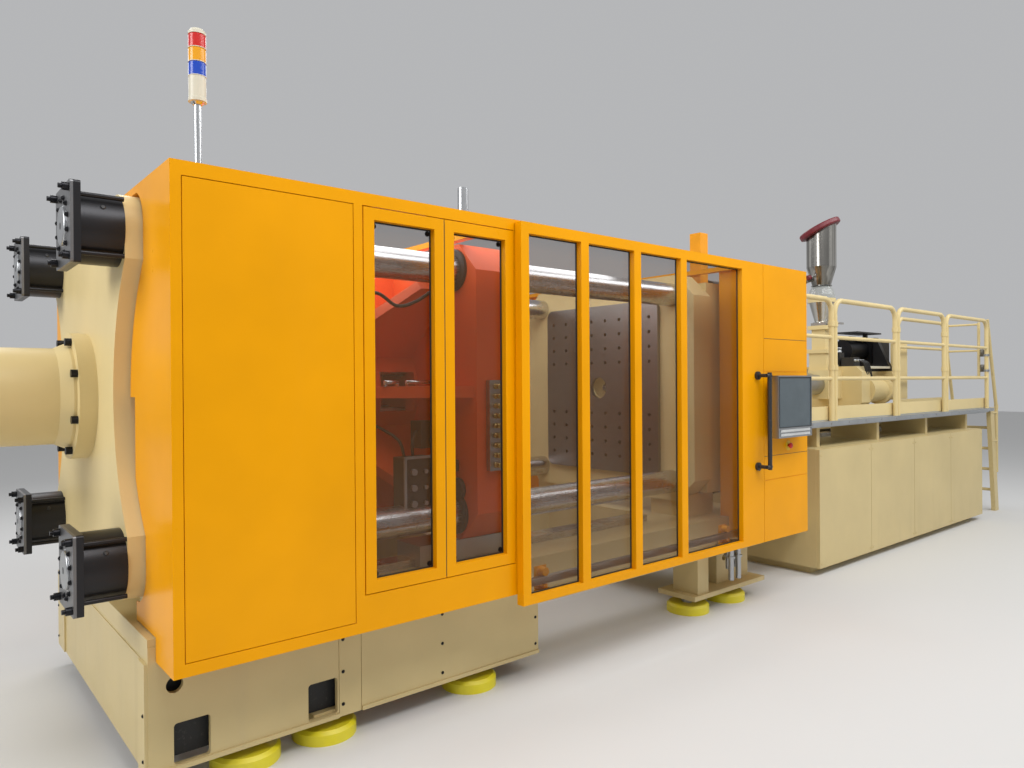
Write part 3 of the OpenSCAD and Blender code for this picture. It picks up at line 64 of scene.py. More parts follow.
def at(x, y, z):
    """A station along the machine, a distance from the centreline and a height, in millimetres."""
    return Vector((START_X + x / 1000, CENTRE_Y + y / 1000, z / 1000))


def stations(node):
    """A part's lowest and highest corner as stations in millimetres."""
    lo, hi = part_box(node)
    return tuple(tuple(round(c * 1000, 1) for c in (p.x - START_X, p.y - CENTRE_Y, p.z)) for p in (lo, hi))


print("gate from", stations("operator_gate")[0], "to", stations("operator_gate")[1])

# %% [markdown]
# ## Camera
# The photographer stood near the clamp end at eye height and looked along the machine. A wide lens
# from that spot gives the strong perspective of the guard, so the camera is placed by measured
# angles and not by eye.

# %% Camera
EYE = at(-731.4, -3850, 1550)
YAW, PITCH, ROLL = (math.radians(a) for a in (49.94, -0.162, -0.405))
FOCAL_PX = 734.4
PICTURE_WIDTH_PX = 1024
SENSOR = 36.0

forward = Vector((math.cos(YAW) * math.cos(PITCH), math.sin(YAW) * math.cos(PITCH), math.sin(PITCH)))
level = Vector((math.sin(YAW), -math.cos(YAW), 0.0))
rise = level.cross(forward)
right = level * math.cos(ROLL) + rise * math.sin(ROLL)
up = rise * math.cos(ROLL) - level * math.sin(ROLL)

cam_data = bpy.data.cameras.new("camera")
cam_data.sensor_width = SENSOR
cam_data.lens = SENSOR * FOCAL_PX / PICTURE_WIDTH_PX
cam_data.clip_start, cam_data.clip_end = 0.05, 200
camera = bpy.data.objects.new("camera", cam_data)
scene.collection.objects.link(camera)
camera.matrix_world = Matrix((right, up, -forward)).transposed().to_4x4()
camera.location = EYE
scene.camera = camera
print("lens", round(cam_data.lens, 2), "mm")

# %% [markdown]
# ## Light and floor
# A workshop has rows of lamps under a high roof. Large soft areas give the same even light with
# gentle shadows, and a pale plain floor keeps attention on the machine.

# %% Floor
FLOOR_REACH = 35.0
floor_mesh = bpy.data.meshes.new("floor")
corners = [(x * FLOOR_REACH, y * FLOOR_REACH, 0) for x, y in ((-1, -1), (1, -1), (1, 1), (-1, 1))]
floor_mesh.from_pydata(corners, [], [(0, 1, 2, 3)])
floor = bpy.data.objects.new("floor", floor_mesh)
scene.collection.objects.link(floor)

floor_mat = bpy.data.materials.new("pale floor")
floor_mat.use_nodes = True
floor_shader = floor_mat.node_tree.nodes["Principled BSDF"]
floor_shader.inputs["Base Color"].default_value = (0.634, 0.634, 0.625, 1.0)
floor_shader.inputs["Roughness"].default_value = 0.75
floor_mesh.materials.append(floor_mat)
print("floor", 2 * FLOOR_REACH, "m square")

# %% Lamps and sky
world = bpy.data.worlds.new("workshop")
world.use_nodes = True
world.node_tree.nodes["Background"].inputs["Color"].default_value = (0.93, 0.94, 0.96, 1)
world.node_tree.nodes["Background"].inputs["Strength"].default_value = 0.50
scene.world = world
scene.view_settings.view_transform = "Standard"


def soft_lamp(name, place, target, width, length, watts):
    """A large rectangular lamp that points from a place to a target."""
    data = bpy.data.lights.new(name, "AREA")
    data.shape = "RECTANGLE"
    data.size, data.size_y = width, length
    data.energy = watts
    lamp = bpy.data.objects.new(name, data)
    scene.collection.objects.link(lamp)
    lamp.location = place
    lamp.rotation_euler = (Vector(target) - Vector(place)).to_track_quat("-Z", "Y").to_euler()
    return lamp


soft_lamp("roof lamps front", (-2.0, -4.5, 6.5), (-1.0, 0.0, 1.2), 7.0, 2.5, 330)
soft_lamp("roof lamps right", (4.5, -4.0, 6.0), (3.0, 0.0, 1.2), 5.0, 2.5, 160)
soft_lamp("roof lamps rear", (-1.0, 5.5, 6.0), (0.0, 0.0, 1.2), 8.0, 2.5, 220)
soft_lamp("end lamp", (-9.0, -0.5, 4.0), (-4.5, 0.0, 1.5), 3.0, 3.0, 190)
mould_lamp = soft_lamp("lamp over the mould", at(1850, 0, 2395), at(1850, 0, 1000), 2.2, 1.6, 34)
mould_lamp.visible_camera = False

# %% [markdown]
# ## Shader arithmetic
# A finish is a small sum: paint colour, plus a little dirt where a mask says so, times some
# variation. Written as nodes that sum is hard to read, so a value here is a Python object that
# adds its own Math nodes when it is used in an expression.

# %% Values that add nodes


class Value:
    """A node's output that can be used in sums."""

    def __init__(self, finish, socket):
        self.finish = finish
        self.socket = socket

    def math(self, operation, *others):
        return self.finish.node("ShaderNodeMath", {"operation": operation},
                                dict(enumerate((self,) + others)))

    def __add__(self, other):
        return self.math("ADD", other)

    __radd__ = __add__

    def __mul__(self, other):
        return self.math("MULTIPLY", other)

    def __sub__(self, other):
        return self.math("SUBTRACT", other)

    def __rsub__(self, other):
        return self.finish.number(other).math("SUBTRACT", self)

    def above(self, edge, soft=0.001):
        """1 above an edge and 0 below it, with a soft step between."""
        return self.between(edge - soft, edge + soft)

    def between(self, low, high):
        """Grows from 0 at low to 1 at high."""
        return self.finish.node("ShaderNodeMapRange", {"clamp": True},
                                {0: self, 1: low, 2: high, 3: 0.0, 4: 1.0})


class Finish:
    """One material, built from a Principled shader and the nodes that feed it."""

    def __init__(self, name):
        self.material = bpy.data.materials.new(name)
        self.material.use_nodes = True
        self.tree = self.material.node_tree
        self.shader = self.tree.nodes["Principled BSDF"]
        self.place = self.tree.nodes.new("ShaderNodeTexCoord").outputs["Object"]

    def node(self, kind, settings=None, sockets=None, output=0):
        """Adds a node: first its settings, then the values or links of its sockets."""
        made = self.tree.nodes.new(kind)
        for key, value in (settings or {}).items():
            setattr(made, key, value)
        for key, value in (sockets or {}).items():
            self.feed(made.inputs[key], value)
        return Value(self, made.outputs[output])

    def feed(self, socket, value):
        if isinstance(value, Value):
            self.tree.links.new(value.socket, socket)
        elif isinstance(value, bpy.types.NodeSocket):
            self.tree.links.new(value, socket)
        elif isinstance(value, (tuple, list)) and socket.type == "RGBA":
            socket.default_value = (*value[:3], 1)
        else:
            socket.default_value = value

    def number(self, value):
        return self.node("ShaderNodeMath", {"operation": "ADD"}, {0: value, 1: 0.0})

    def noise(self, scale, detail=4.0, stretch=(1, 1, 1), rough=0.55):
        """Cloudy variation about 0.5; scale is cells per metre."""
        moved = self.node("ShaderNodeMapping", None, {"Vector": self.place, "Scale": stretch})
        return self.node("ShaderNodeTexNoise", None,
                         {"Vector": moved, "Scale": scale, "Detail": detail, "Roughness": rough})

    def axis(self, letter):
        """The place along one axis, in metres."""
        split = self.tree.nodes.new("ShaderNodeSeparateXYZ")
        self.tree.links.new(self.place, split.inputs[0])
        return Value(self, split.outputs["XYZ".index(letter)])

    def mix(self, mask, first, second):
        """A colour between two others."""
        return self.node("ShaderNodeMix", {"data_type": "RGBA"}, {0: mask, 6: first, 7: second}, output=2)

    def bump(self, height, depth):
        """Feeds a height into the surface's normal; depth is in metres."""
        made = self.node("ShaderNodeBump", None, {"Height": height, "Distance": depth, "Strength": 1.0})
        self.feed(self.shader.inputs["Normal"], made)

    def set(self, **sockets):
        """Sets the shader's sockets, written with underscores for spaces."""
        for key, value in sockets.items():
            self.feed(self.shader.inputs[key.replace("_", " ")], value)


# %% [markdown]
# ## Paint
# Sheet metal paint is not one flat colour. It drifts a little over a panel, carries fine orange
# peel in its gloss, gathers dust near the floor and grime in streaks. Castings have the same paint
# over a rougher skin.

# %% Paint recipes
DUST = (0.34, 0.30, 0.24)
GRIME_TOP = 0.9  # metres above the floor


def shade(colour, factor):
    return tuple(c * factor for c in colour)


def paint(name, colour, rough=0.34, skin=0.00006, skin_scale=420.0, grime=0.35, shine=0.28):
    """Sheet or casting paint: a drifting colour, scuffs, and grime that grows towards the floor."""
    f = Finish(name)
    drift = f.noise(1.7, 3).between(0.3, 0.7)
    colour_now = f.mix(drift, shade(colour, 0.93), shade(colour, 1.05))
    streak = f.noise(9.0, 5, (1.0, 1.0, 0.09)).between(0.56, 0.80)
    spots = f.noise(38.0, 6).between(0.62, 0.78)
    nearer = 1 - f.axis("Z").between(0.05, GRIME_TOP)
    dirt = (streak * 0.25 + spots * 0.22) * (nearer * 0.8 + 0.2) * grime
    colour_now = f.mix(dirt, colour_now, DUST)
    peel = f.noise(skin_scale, 2)
    f.bump(peel, skin)
    cloud = f.noise(6.0, 5)
    f.set(Base_Color=colour_now, Roughness=rough - 0.06 + cloud * 0.12 + dirt * 0.8,
          Specular_IOR_Level=shine)
    return f


CREAM = (0.720, 0.575, 0.285)
CAST_CREAM = shade(CREAM, 1.02)
YELLOW = (0.850, 0.355, 0.0)
ORANGE = (0.800, 0.105, 0.022)
CAST_SKIN = (0.42, 0.0005, 70.0, 0.25)  # roughness, depth and scale of the skin, grime

cream_sheet = paint("cream sheet paint", CREAM, 0.36)
# The base, cabinet and platform-leg sheets are a darker copy of the cream sheet with more grime: partly
# dirt, and partly painted shade, for these parts lie in shadow under the guard and the deck.
base_sheet_shade_and_dirt = paint("base sheet paint with painted shade and dirt", shade(CREAM, 0.84), 0.38, grime=0.55)
cream_cast = paint("cream casting paint", CAST_CREAM, *CAST_SKIN)
guard_yellow = paint("guard yellow", YELLOW, 0.30, 0.00004, 500.0, 0.10, shine=0.14)
print("paints", [f.material.name for f in (cream_sheet, base_sheet_shade_and_dirt, cream_cast, guard_yellow)])

# %% [markdown]
# ## Bare metal
# Chrome, machined steel and stainless sheet differ mostly in roughness and in the fine lines that
# the tool leaves. The lines are a noise stretched hard along one axis.

# %% Metal recipes


def metal(name, colour, rough, lines=(1, 1, 1), line_scale=180.0, spread=0.10, depth=0.00002, stain=0.15,
          bands=0.0):
    """Bare metal with tool lines, cloudy roughness, a few stains and, where asked, upright dark bands that
    are painted reflections.
    """
    f = Finish(name)
    grain = f.noise(line_scale, 3, lines)
    cloud = f.noise(5.0, 4)
    stains = f.noise(14.0, 6).between(0.60, 0.78) * stain
    tone = f.mix(cloud.between(0.3, 0.7), shade(colour, 0.92), shade(colour, 1.05))
    # Painted reflections: upright dark bands stand in for the room mirrored in the curved sheet.
    if bands:
        tone = f.mix(f.noise(19.0, 2, (1, 1, 0.01)).between(0.44, 0.56) * bands, tone, shade(colour, 0.30))
    f.bump(grain, depth)
    f.set(Base_Color=f.mix(stains, tone, (0.16, 0.14, 0.11)), Metallic=1.0,
          Roughness=rough + (cloud - 0.5) * spread + stains * 0.5 + (grain - 0.5) * 0.06)
    return f


chrome = metal("hard chrome", (0.60, 0.60, 0.61), 0.27, (0.02, 1, 1), 260.0, 0.08, 0.000004, 0.05)
machined = metal("machined steel", (0.46, 0.47, 0.48), 0.34, (1, 0.05, 1), 240.0, 0.14)
# The hopper drum's stainless sheet carries these painted reflection bands.
stainless = metal("stainless sheet", (0.50, 0.48, 0.44), 0.22, (1, 1, 0.02), 60.0, 0.05, 0.000004, 0.0,
                  bands=0.75)
galvanised = metal("galvanised steel", (0.55, 0.57, 0.58), 0.42, (1, 1, 1), 60.0, 0.20, 0.00008)
black_steel = metal("black oxide steel", (0.030, 0.030, 0.033), 0.38, (1, 1, 1), 120.0, 0.12, 0.00003, 0.1)
spring_steel = metal("spring steel", (0.21, 0.20, 0.18), 0.45, (1, 1, 1), 90.0, 0.14)
silver_case = metal("silver anodised case", (0.44, 0.45, 0.46), 0.42, (1, 1, 1), 900.0, 0.05, 0.00001, 0.0)
brass = metal("brass couplings", (0.55, 0.42, 0.18), 0.30, (1, 1, 1), 150.0, 0.12)
print("metals", [f.material.name for f in (chrome, machined, stainless, galvanised, black_steel, brass)])

# %% Plastics, lenses and clear sheets


def plastic(name, colour, rough=0.4, skin=0.00005, skin_scale=600.0, dust=0.12):
    """Moulded or sprayed plastic and rubber with a fine skin and a little dust."""
    f = Finish(name)
    cloud = f.noise(7.0, 5)
    specks = f.noise(60.0, 5).between(0.60, 0.75) * dust
    f.bump(f.noise(skin_scale, 2), skin)
    tone = f.mix(cloud.between(0.3, 0.7), shade(colour, 0.9), shade(colour, 1.08))
    f.set(Base_Color=f.mix(specks, tone, (0.30, 0.28, 0.25)), Roughness=rough + (cloud - 0.5) * 0.14)
    return f


def clear(name, colour, alpha, rough=0.06):
    """A clear or smoked sheet, with faint smears in its gloss."""
    f = Finish(name)
    smear = f.noise(5.0, 5, (1, 1, 0.25)).between(0.45, 0.75)
    f.set(Base_Color=f.mix(smear, colour, shade(colour, 1.25)), Roughness=rough + smear * 0.05,
          Alpha=alpha, Specular_IOR_Level=0.6)
    f.material.surface_render_method = "DITHERED"
    return f


TOWER_CREAM = (0.62, 0.58, 0.46)
black_plastic = plastic("black plastic", (0.022, 0.022, 0.024), 0.42)
grey_screen = plastic("grey screen", (0.092, 0.115, 0.128), 0.25, 0.0, 100.0, 0.03)
light_strip = plastic("light key strip", (0.55, 0.56, 0.55), 0.35)
stop_red = plastic("stop button red", (0.60, 0.012, 0.010), 0.30)
lid_red = plastic("dark red lid", (0.16, 0.012, 0.020), 0.42)
stop_yellow = plastic("stop ring yellow", (0.75, 0.50, 0.01), 0.35)
tower_cream = plastic("tower cream plastic", TOWER_CREAM, 0.35)
rubber = plastic("black rubber", (0.016, 0.016, 0.016), 0.62, 0.0001, 300.0)
smoked = clear("smoked sheet", (0.095, 0.045, 0.013), 0.30)
clear_plastic = clear("clear hopper plastic", (0.45, 0.47, 0.45), 0.34, 0.10)
print("clear sheets", [f.material.name for f in (smoked, clear_plastic)])

# %% [markdown]
# ## Parts with two finishes
# Some parts are one piece with two looks: a painted casting with a machined face, a yellow pad
# with a steel screw, or a stack of coloured lamps. Their material reads the height or the station
# of each point and changes there, so the part itself stays one mesh.

# %% Platens with machined faces


def faced_casting(name, colour, first, last):
    """Casting paint with a machined mould face between two stations."""
    f = paint(name, colour, *CAST_SKIN)
    painted = f.shader.inputs["Base Color"].links[0].from_socket
    rough = f.shader.inputs["Roughness"].links[0].from_socket
    x, y, z = (f.axis(letter) for letter in "XYZ")
    along = x.above(at(first, 0, 0).x) * (1 - x.above(at(last, 0, 0).x))
    mid = at(0, 0, AXIS_Z)
    inside_y = 1 - (y - mid.y).math("ABSOLUTE").above(MOULD_WIDTH / 2000)
    inside_z = 1 - (z - mid.z).math("ABSOLUTE").above(MOULD_HEIGHT / 2000)
    face = along * inside_y * inside_z
    cutter = f.noise(160.0, 3, (1, 0.08, 1))
    bare = f.mix(cutter, (0.24, 0.235, 0.23), (0.34, 0.335, 0.33))
    f.set(Base_Color=f.mix(face, painted, bare), Metallic=face,
          Roughness=Value(f, rough) * (1 - face) + (cutter * 0.12 + 0.28) * face)
    return f


MOULD_WIDTH, MOULD_HEIGHT, MOULD_DEPTH = 1134, 1244, 29
AXIS_Z = sum(p[2] for p in stations("tie_bars")) / 2
fixed_face = stations("stationary_platen")[0][0]
moving_face = stations("moving_platen")[1][0]
fixed_platen = faced_casting("fixed platen", CAST_CREAM, fixed_face - 5, fixed_face + MOULD_DEPTH)
moving_platen = faced_casting("moving platen", ORANGE, moving_face - MOULD_DEPTH, moving_face + 5)
print("mould faces at", fixed_face, "and", moving_face)

# %% Lamps, feet and the light tower


def banded(name, bands, rough=0.3, metallic_above=None):
    """A plain finish whose colour changes with height: a list of (height in mm, colour) from below."""
    f = Finish(name)
    z = f.axis("Z")
    colour = f.mix(0.0, bands[0][1], bands[0][1])
    for height, next_colour in bands[1:]:
        colour = f.mix(z.above(height / 1000, 0.0004), colour, next_colour)
    cloud = f.noise(9.0, 5)
    f.bump(f.noise(350.0, 2), 0.00005)
    shaded = f.mix(cloud.between(0.35, 0.7) * 0.12, colour, DUST)
    f.set(Base_Color=shaded, Roughness=rough + (cloud - 0.5) * 0.15)
    if metallic_above is not None:
        f.set(Metallic=z.above(metallic_above / 1000, 0.0004))
    return f


lamp_low, lamp_high = (p[2] for p in stations("tower_lamps"))
lamp_step = (lamp_high - lamp_low) / 3
lenses = banded("lamp lenses", [(0, (0.01, 0.06, 0.45)), (lamp_low + lamp_step, (0.75, 0.33, 0.01)),
                                (lamp_low + 2 * lamp_step, (0.55, 0.012, 0.010))], 0.2)
PAD_TOP = 60.5
feet = banded("foot pads and screws", [(0, (0.78, 0.68, 0.015)), (PAD_TOP, (0.42, 0.42, 0.43))],
              0.4, PAD_TOP)

# %% Parts whose look changes at a station


def parted(name, first, *others):
    """A first look, then further looks and their regions. A look is (colour, metallic, roughness)."""
    f = Finish(name)
    cloud = f.noise(6.0, 5)
    drift = cloud.between(0.3, 0.7)
    colour, metallic, rough = f.mix(drift, shade(first[0], 0.92), shade(first[0], 1.05)), first[1], first[2]
    for look, region in zip(others[::2], others[1::2]):
        here = region(f)
        colour = f.mix(here, colour, f.mix(drift, shade(look[0], 0.92), shade(look[0], 1.05)))
        metallic = here * look[1] + (1 - here) * metallic
        rough = here * look[2] + (1 - here) * rough
    f.bump(f.noise(260.0, 3), 0.00004)
    f.set(Base_Color=colour, Metallic=metallic, Roughness=rough + (cloud - 0.5) * 0.12)
    return f


BRIGHT = ((0.62, 0.63, 0.64), 1.0, 0.24)
GREY_STEEL = ((0.22, 0.22, 0.225), 1.0, 0.42)
BLACK_OXIDE = ((0.026, 0.026, 0.029), 0.6, 0.34)
CREAM_PAINT = (CAST_CREAM, 0.0, 0.40)
YELLOW_PAINT = (YELLOW, 0.0, 0.32)

BAR_Y, BAR_Z = 660, 645
PLATE_X = stations("tie_bar_nuts")[0][0]
CROSS_HI = stations("cross_plate")[1]
CROSS_THICK = 71
POST_SPLIT = 3600  # between the bright post and the yellow one
NUT_PLATE = 10
CONE_FLANGE = 41
CYLINDER_TOP = stations("injection_cylinders")[1][2] + 50
HOPPER_X = sum(p[0] for p in stations("hopper_cone")) / 2

tower_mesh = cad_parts["tower_stand"].data
TOWER_X, TOWER_Y = (sum(p[k] for p in stations("tower_lamps")) / 2 for k in (0, 1))
axis_point = at(TOWER_X, TOWER_Y, 0)
POLE_RADIUS = 0.028
body_low = min(v.co.z for v in tower_mesh.vertices if v.co.z > guard_hi.z + 0.1
               and math.hypot(v.co.x - axis_point.x, v.co.y - axis_point.y) > POLE_RADIUS)
tower_paint = parted("tower body and pole", BRIGHT, (TOWER_CREAM, 0.0, 0.35),
                     lambda f: f.axis("Z").above(body_low - 0.001))
nut_black = parted("nut steel", BLACK_OXIDE, GREY_STEEL,
                   lambda f: 1 - f.axis("X").above(at(PLATE_X + NUT_PLATE, 0, 0).x))
post_paint = parted("roof posts", BRIGHT, YELLOW_PAINT, lambda f: f.axis("X").above(at(POST_SPLIT, 0, 0).x))
cross_paint = parted("cross plate and rods", BRIGHT, CREAM_PAINT,
                     lambda f: f.axis("X").above(at(CROSS_HI[0] - CROSS_THICK, 0, 0).x), BLACK_OXIDE,
                     lambda f: f.axis("Z").above(CYLINDER_TOP / 1000))
cone_paint = parted("cone and its flange", ((0.60, 0.58, 0.53), 1.0, 0.22), CREAM_PAINT,
                    lambda f: f.axis("Z").above((stations("hopper_cone")[1][2] - CONE_FLANGE) / 1000))
print("tower body starts at", round(body_low, 3), "m, hopper stands at", HOPPER_X)

# %% Give every part its finish
FINISHES = {
    cream_cast: "end_platen clamp_cylinder carriage injection_cylinders feed_throat",
    cream_sheet: "handrails toe_boards platform_gate",
    base_sheet_shade_and_dirt: "clamp_base base_panels injection_base cabinet_panels platform_legs",
    fixed_platen: "stationary_platen",
    moving_platen: "moving_platen",
    guard_yellow: "guard_frame guard_end_panel guard_side_panels window_panels operator_gate rear_gate "
                  "control_box",
    chrome: "tie_bars clamp_ram ejector_rods guide_rails screw shutoff_slide",
    machined: "platen_shoes ejector_plate gate_tracks hmi_arm barrel nozzle gate_hinges water_manifold "
              "heater_bands",
    stainless: "hopper_drum",
    cone_paint: "hopper_cone",
    cross_paint: "cross_plate",
    post_paint: "top_posts",
    tower_paint: "tower_stand",
    nut_black: "tie_bar_nuts",
    galvanised: "platform_deck",
    black_steel: "clamp_bolts ejector_cylinder drive_motor drive_cover",
    black_plastic: "gate_handle rear_gate_handle",
    silver_case: "hmi_panel",
    grey_screen: "hmi_screen",
    stop_red: "estop_button",
    lid_red: "hopper_lid",
    smoked: "panel_windows operator_gate_windows rear_gate_windows",
    clear_plastic: "hopper_sight",
    lenses: "tower_lamps",
    feet: "levelling_feet",
}
dressed = set()
for finish, names in FINISHES.items():
    for name in names.split():
        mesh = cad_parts[name].data
        mesh.materials.clear()
        mesh.materials.append(finish.material)
        dressed.add(name)
print("undressed parts:", sorted(set(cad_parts) - dressed))

# %% [markdown]
# ## Making small pieces
# Screws, hoses, gaskets and fittings are built from a few closed shapes: a block, a turned piece and
# a hose. A `Piece` collects such shapes and becomes one object that rides on a body of the machine.

# %% Blocks, turned pieces and hoses


class Piece:
    """Collects closed shapes, given in machine stations (millimetres), into one mesh."""

    def __init__(self):
        self.mesh = bmesh.new()

    def block(self, low, high):
        """A box from its low corner to its high corner."""
        lo, hi = at(*low), at(*high)
        corners = [(x, y, z) for z in (lo.z, hi.z) for y in (lo.y, hi.y) for x in (lo.x, hi.x)]
        v = [self.mesh.verts.new(c) for c in corners]
        for face in ((0, 2, 3, 1), (4, 5, 7, 6), (0, 1, 5, 4), (2, 6, 7, 3), (0, 4, 6, 2), (1, 3, 7, 5)):
            self.mesh.faces.new([v[i] for i in face])
        return self

    def rings(self, rings):
        """A closed skin over rings of points, with a flat cap at both ends."""
        rows = [[self.mesh.verts.new(p) for p in ring] for ring in rings]
        count = len(rows[0])
        for low, high in zip(rows, rows[1:]):
            for i in range(count):
                j = (i + 1) % count
                face = self.mesh.faces.new((low[i], low[j], high[j], high[i]))
                face.smooth = True
        self.mesh.faces.new(list(reversed(rows[0])))
        self.mesh.faces.new(rows[-1])
        return self

    def turned(self, start, axis, profile, sides=24):
        """A turned piece: profile is a list of (distance along the axis, radius) in millimetres."""
        origin = at(*start)
        along = Vector(axis).normalized()
        side = along.orthogonal().normalized()
        other = along.cross(side)
        rings = []
        for distance, radius in profile:
            centre = origin + along * (distance / 1000)
            rings.append([centre + (side * math.cos(a) + other * math.sin(a)) * (radius / 1000)
                          for a in (2 * math.pi * i / sides for i in range(sides))])
        return self.rings(rings)

    def collar(self, start, axis, profile, sides=32):
        """A turned ring with a hole: the profile closes on itself and never meets the axis."""
        origin, along = at(*start), Vector(axis).normalized()
        side = along.orthogonal().normalized()
        other = along.cross(side)
        rows = []
        for i in range(sides):
            a = 2 * math.pi * i / sides
            out = side * math.cos(a) + other * math.sin(a)
            rows.append([self.mesh.verts.new(origin + along * (d / 1000) + out * (r / 1000))
                         for d, r in profile])
        for i, row in enumerate(rows):
            beside = rows[(i + 1) % sides]
            for k in range(len(profile)):
                m = (k + 1) % len(profile)
                self.mesh.faces.new((row[k], beside[k], beside[m], row[m]))

    def rod(self, start, end, radius, sides=20):
        """A round bar between two stations."""
        length = (Vector(end) - Vector(start)).length
        return self.turned(start, Vector(end) - Vector(start), [(0, radius), (length, radius)], sides)

    def hose(self, points, radius, steps=10, sides=12):
        """A hose that runs smoothly through its points."""
        p = [at(*q) for q in points]
        p = [p[0] * 2 - p[1]] + p + [p[-1] * 2 - p[-2]]
        line = []
        for i in range(1, len(p) - 2):
            a, b, c, d = p[i - 1:i + 3]
            last = steps if i < len(p) - 3 else steps + 1
            for k in range(last):
                t = k / steps
                line.append(0.5 * (2 * b + (c - a) * t + (2 * a - 5 * b + 4 * c - d) * t ** 2
                                   + (3 * b - a - 3 * c + d) * t ** 3))
        side = (line[1] - line[0]).orthogonal().normalized()
        rings = []
        for i, place in enumerate(line):
            ahead = (line[min(i + 1, len(line) - 1)] - line[max(i - 1, 0)]).normalized()
            side = (side - ahead * side.dot(ahead)).normalized()
            other = ahead.cross(side)
            rings.append([place + (side * math.cos(a) + other * math.sin(a)) * (radius / 1000)
                          for a in (2 * math.pi * j / sides for j in range(sides))])
        return self.rings(rings)

    def frame(self, low, high, width):
        """A flat rectangular ring, as four bars inside the box from low to high."""
        (x0, y0, z0), (x1, y1, z1) = low, high
        self.block((x0, y0, z0), (x1, y1, z0 + width)).block((x0, y0, z1 - width), (x1, y1, z1))
        self.block((x0, y0, z0 + width), (x0 + width, y1, z1 - width))
        self.block((x1 - width, y0, z0 + width), (x1, y1, z1 - width))

    def done(self, name, finish, body="machine_frame"):
        """Turns the shapes into an object with a finish that rides on a body."""
        name = name.replace(" ", "_")
        bmesh.ops.recalc_face_normals(self.mesh, faces=self.mesh.faces)
        data = bpy.data.meshes.new(name)
        self.mesh.to_mesh(data)
        self.mesh.free()
        data.materials.append(finish.material)
        made = bpy.data.objects.new(name, data)
        scene.collection.objects.link(made)
        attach(made, body)
        print(name, len(data.polygons), "faces on", body)

# %% [markdown]
# ## Screws by Geometry Nodes
# Hundreds of screws share one shape, so a node group makes them: it takes points that carry the
# direction of the surface, puts a screw head on each, gives every head its own turn and joins them
# into one mesh. The result is kept as a plain mesh.

# %% A node group for screws


SCREW_SEED = 7


def screw_group():
    """Points in, screw heads out. Heads are turned at random about their own axis."""
    group = bpy.data.node_groups.new("screw heads", "GeometryNodeTree")
    face = group.interface
    face.new_socket("Points", in_out="INPUT", socket_type="NodeSocketGeometry")
    for name, value in (("Head radius", 0.007), ("Head height", 0.004), ("Washer radius", 0.010)):
        face.new_socket(name, in_out="INPUT", socket_type="NodeSocketFloat").default_value = value
    face.new_socket("Seed", in_out="INPUT", socket_type="NodeSocketInt").default_value = SCREW_SEED
    face.new_socket("Finish", in_out="INPUT", socket_type="NodeSocketMaterial")
    face.new_socket("Screws", in_out="OUTPUT", socket_type="NodeSocketGeometry")

    def add(kind, **settings):
        node = group.nodes.new(kind)
        for key, value in settings.items():
            setattr(node, key, value)
        return node

    def link(a, b):
        group.links.new(a, b)

    source, result = add("NodeGroupInput"), add("NodeGroupOutput")
    head = add("GeometryNodeMeshCone")
    head.inputs["Vertices"].default_value = 12
    link(source.outputs["Head radius"], head.inputs["Radius Bottom"])
    narrow = add("ShaderNodeMath", operation="MULTIPLY")
    narrow.inputs[1].default_value = 0.82
    link(source.outputs["Head radius"], narrow.inputs[0])
    link(narrow.outputs[0], head.inputs["Radius Top"])
    link(source.outputs["Head height"], head.inputs["Depth"])
    washer = add("GeometryNodeMeshCylinder")
    washer.inputs["Vertices"].default_value = 16
    link(source.outputs["Washer radius"], washer.inputs["Radius"])
    thin = add("ShaderNodeMath", operation="MULTIPLY")
    thin.inputs[1].default_value = 0.35
    link(source.outputs["Head height"], thin.inputs[0])
    link(thin.outputs[0], washer.inputs["Depth"])
    socket = add("GeometryNodeMeshCylinder")
    socket.inputs["Vertices"].default_value = 6
    half = add("ShaderNodeMath", operation="MULTIPLY")
    half.inputs[1].default_value = 0.45
    link(source.outputs["Head radius"], half.inputs[0])
    link(half.outputs[0], socket.inputs["Radius"])
    link(thin.outputs[0], socket.inputs["Depth"])
    lift = add("GeometryNodeTransform")
    lifted = add("ShaderNodeCombineXYZ")
    link(source.outputs["Head height"], lifted.inputs["Z"])
    link(socket.outputs["Mesh"], lift.inputs["Geometry"])
    link(lifted.outputs[0], lift.inputs["Translation"])
    join = add("GeometryNodeJoinGeometry")
    for mesh in (head.outputs["Mesh"], washer.outputs["Mesh"], lift.outputs["Geometry"]):
        link(mesh, join.inputs[0])
    facing = add("GeometryNodeInputNamedAttribute", data_type="FLOAT_VECTOR")
    facing.inputs["Name"].default_value = "facing"
    turn = add("FunctionNodeAlignRotationToVector", axis="Z")
    link(facing.outputs["Attribute"], turn.inputs["Vector"])
    chance = add("FunctionNodeRandomValue", data_type="FLOAT")
    chance.inputs[3].default_value = 6.283
    link(source.outputs["Seed"], chance.inputs["Seed"])
    spin = add("FunctionNodeAxisAngleToRotation")
    link(chance.outputs[1], spin.inputs["Angle"])
    both = add("FunctionNodeRotateRotation", rotation_space="LOCAL")
    link(turn.outputs["Rotation"], both.inputs["Rotation"])
    link(spin.outputs["Rotation"], both.inputs["Rotate By"])
    place = add("GeometryNodeInstanceOnPoints")
    link(source.outputs["Points"], place.inputs["Points"])
    link(join.outputs[0], place.inputs["Instance"])
    link(both.outputs["Rotation"], place.inputs["Rotation"])
    real = add("GeometryNodeRealizeInstances")
    link(place.outputs[0], real.inputs[0])
    paint_on = add("GeometryNodeSetMaterial")
    link(real.outputs[0], paint_on.inputs["Geometry"])
    link(source.outputs["Finish"], paint_on.inputs["Material"])
    link(paint_on.outputs[0], result.inputs[0])
    return group


SCREWS = screw_group()
print("screw group:", len(SCREWS.nodes), "nodes")

# %% Putting screws on a machine


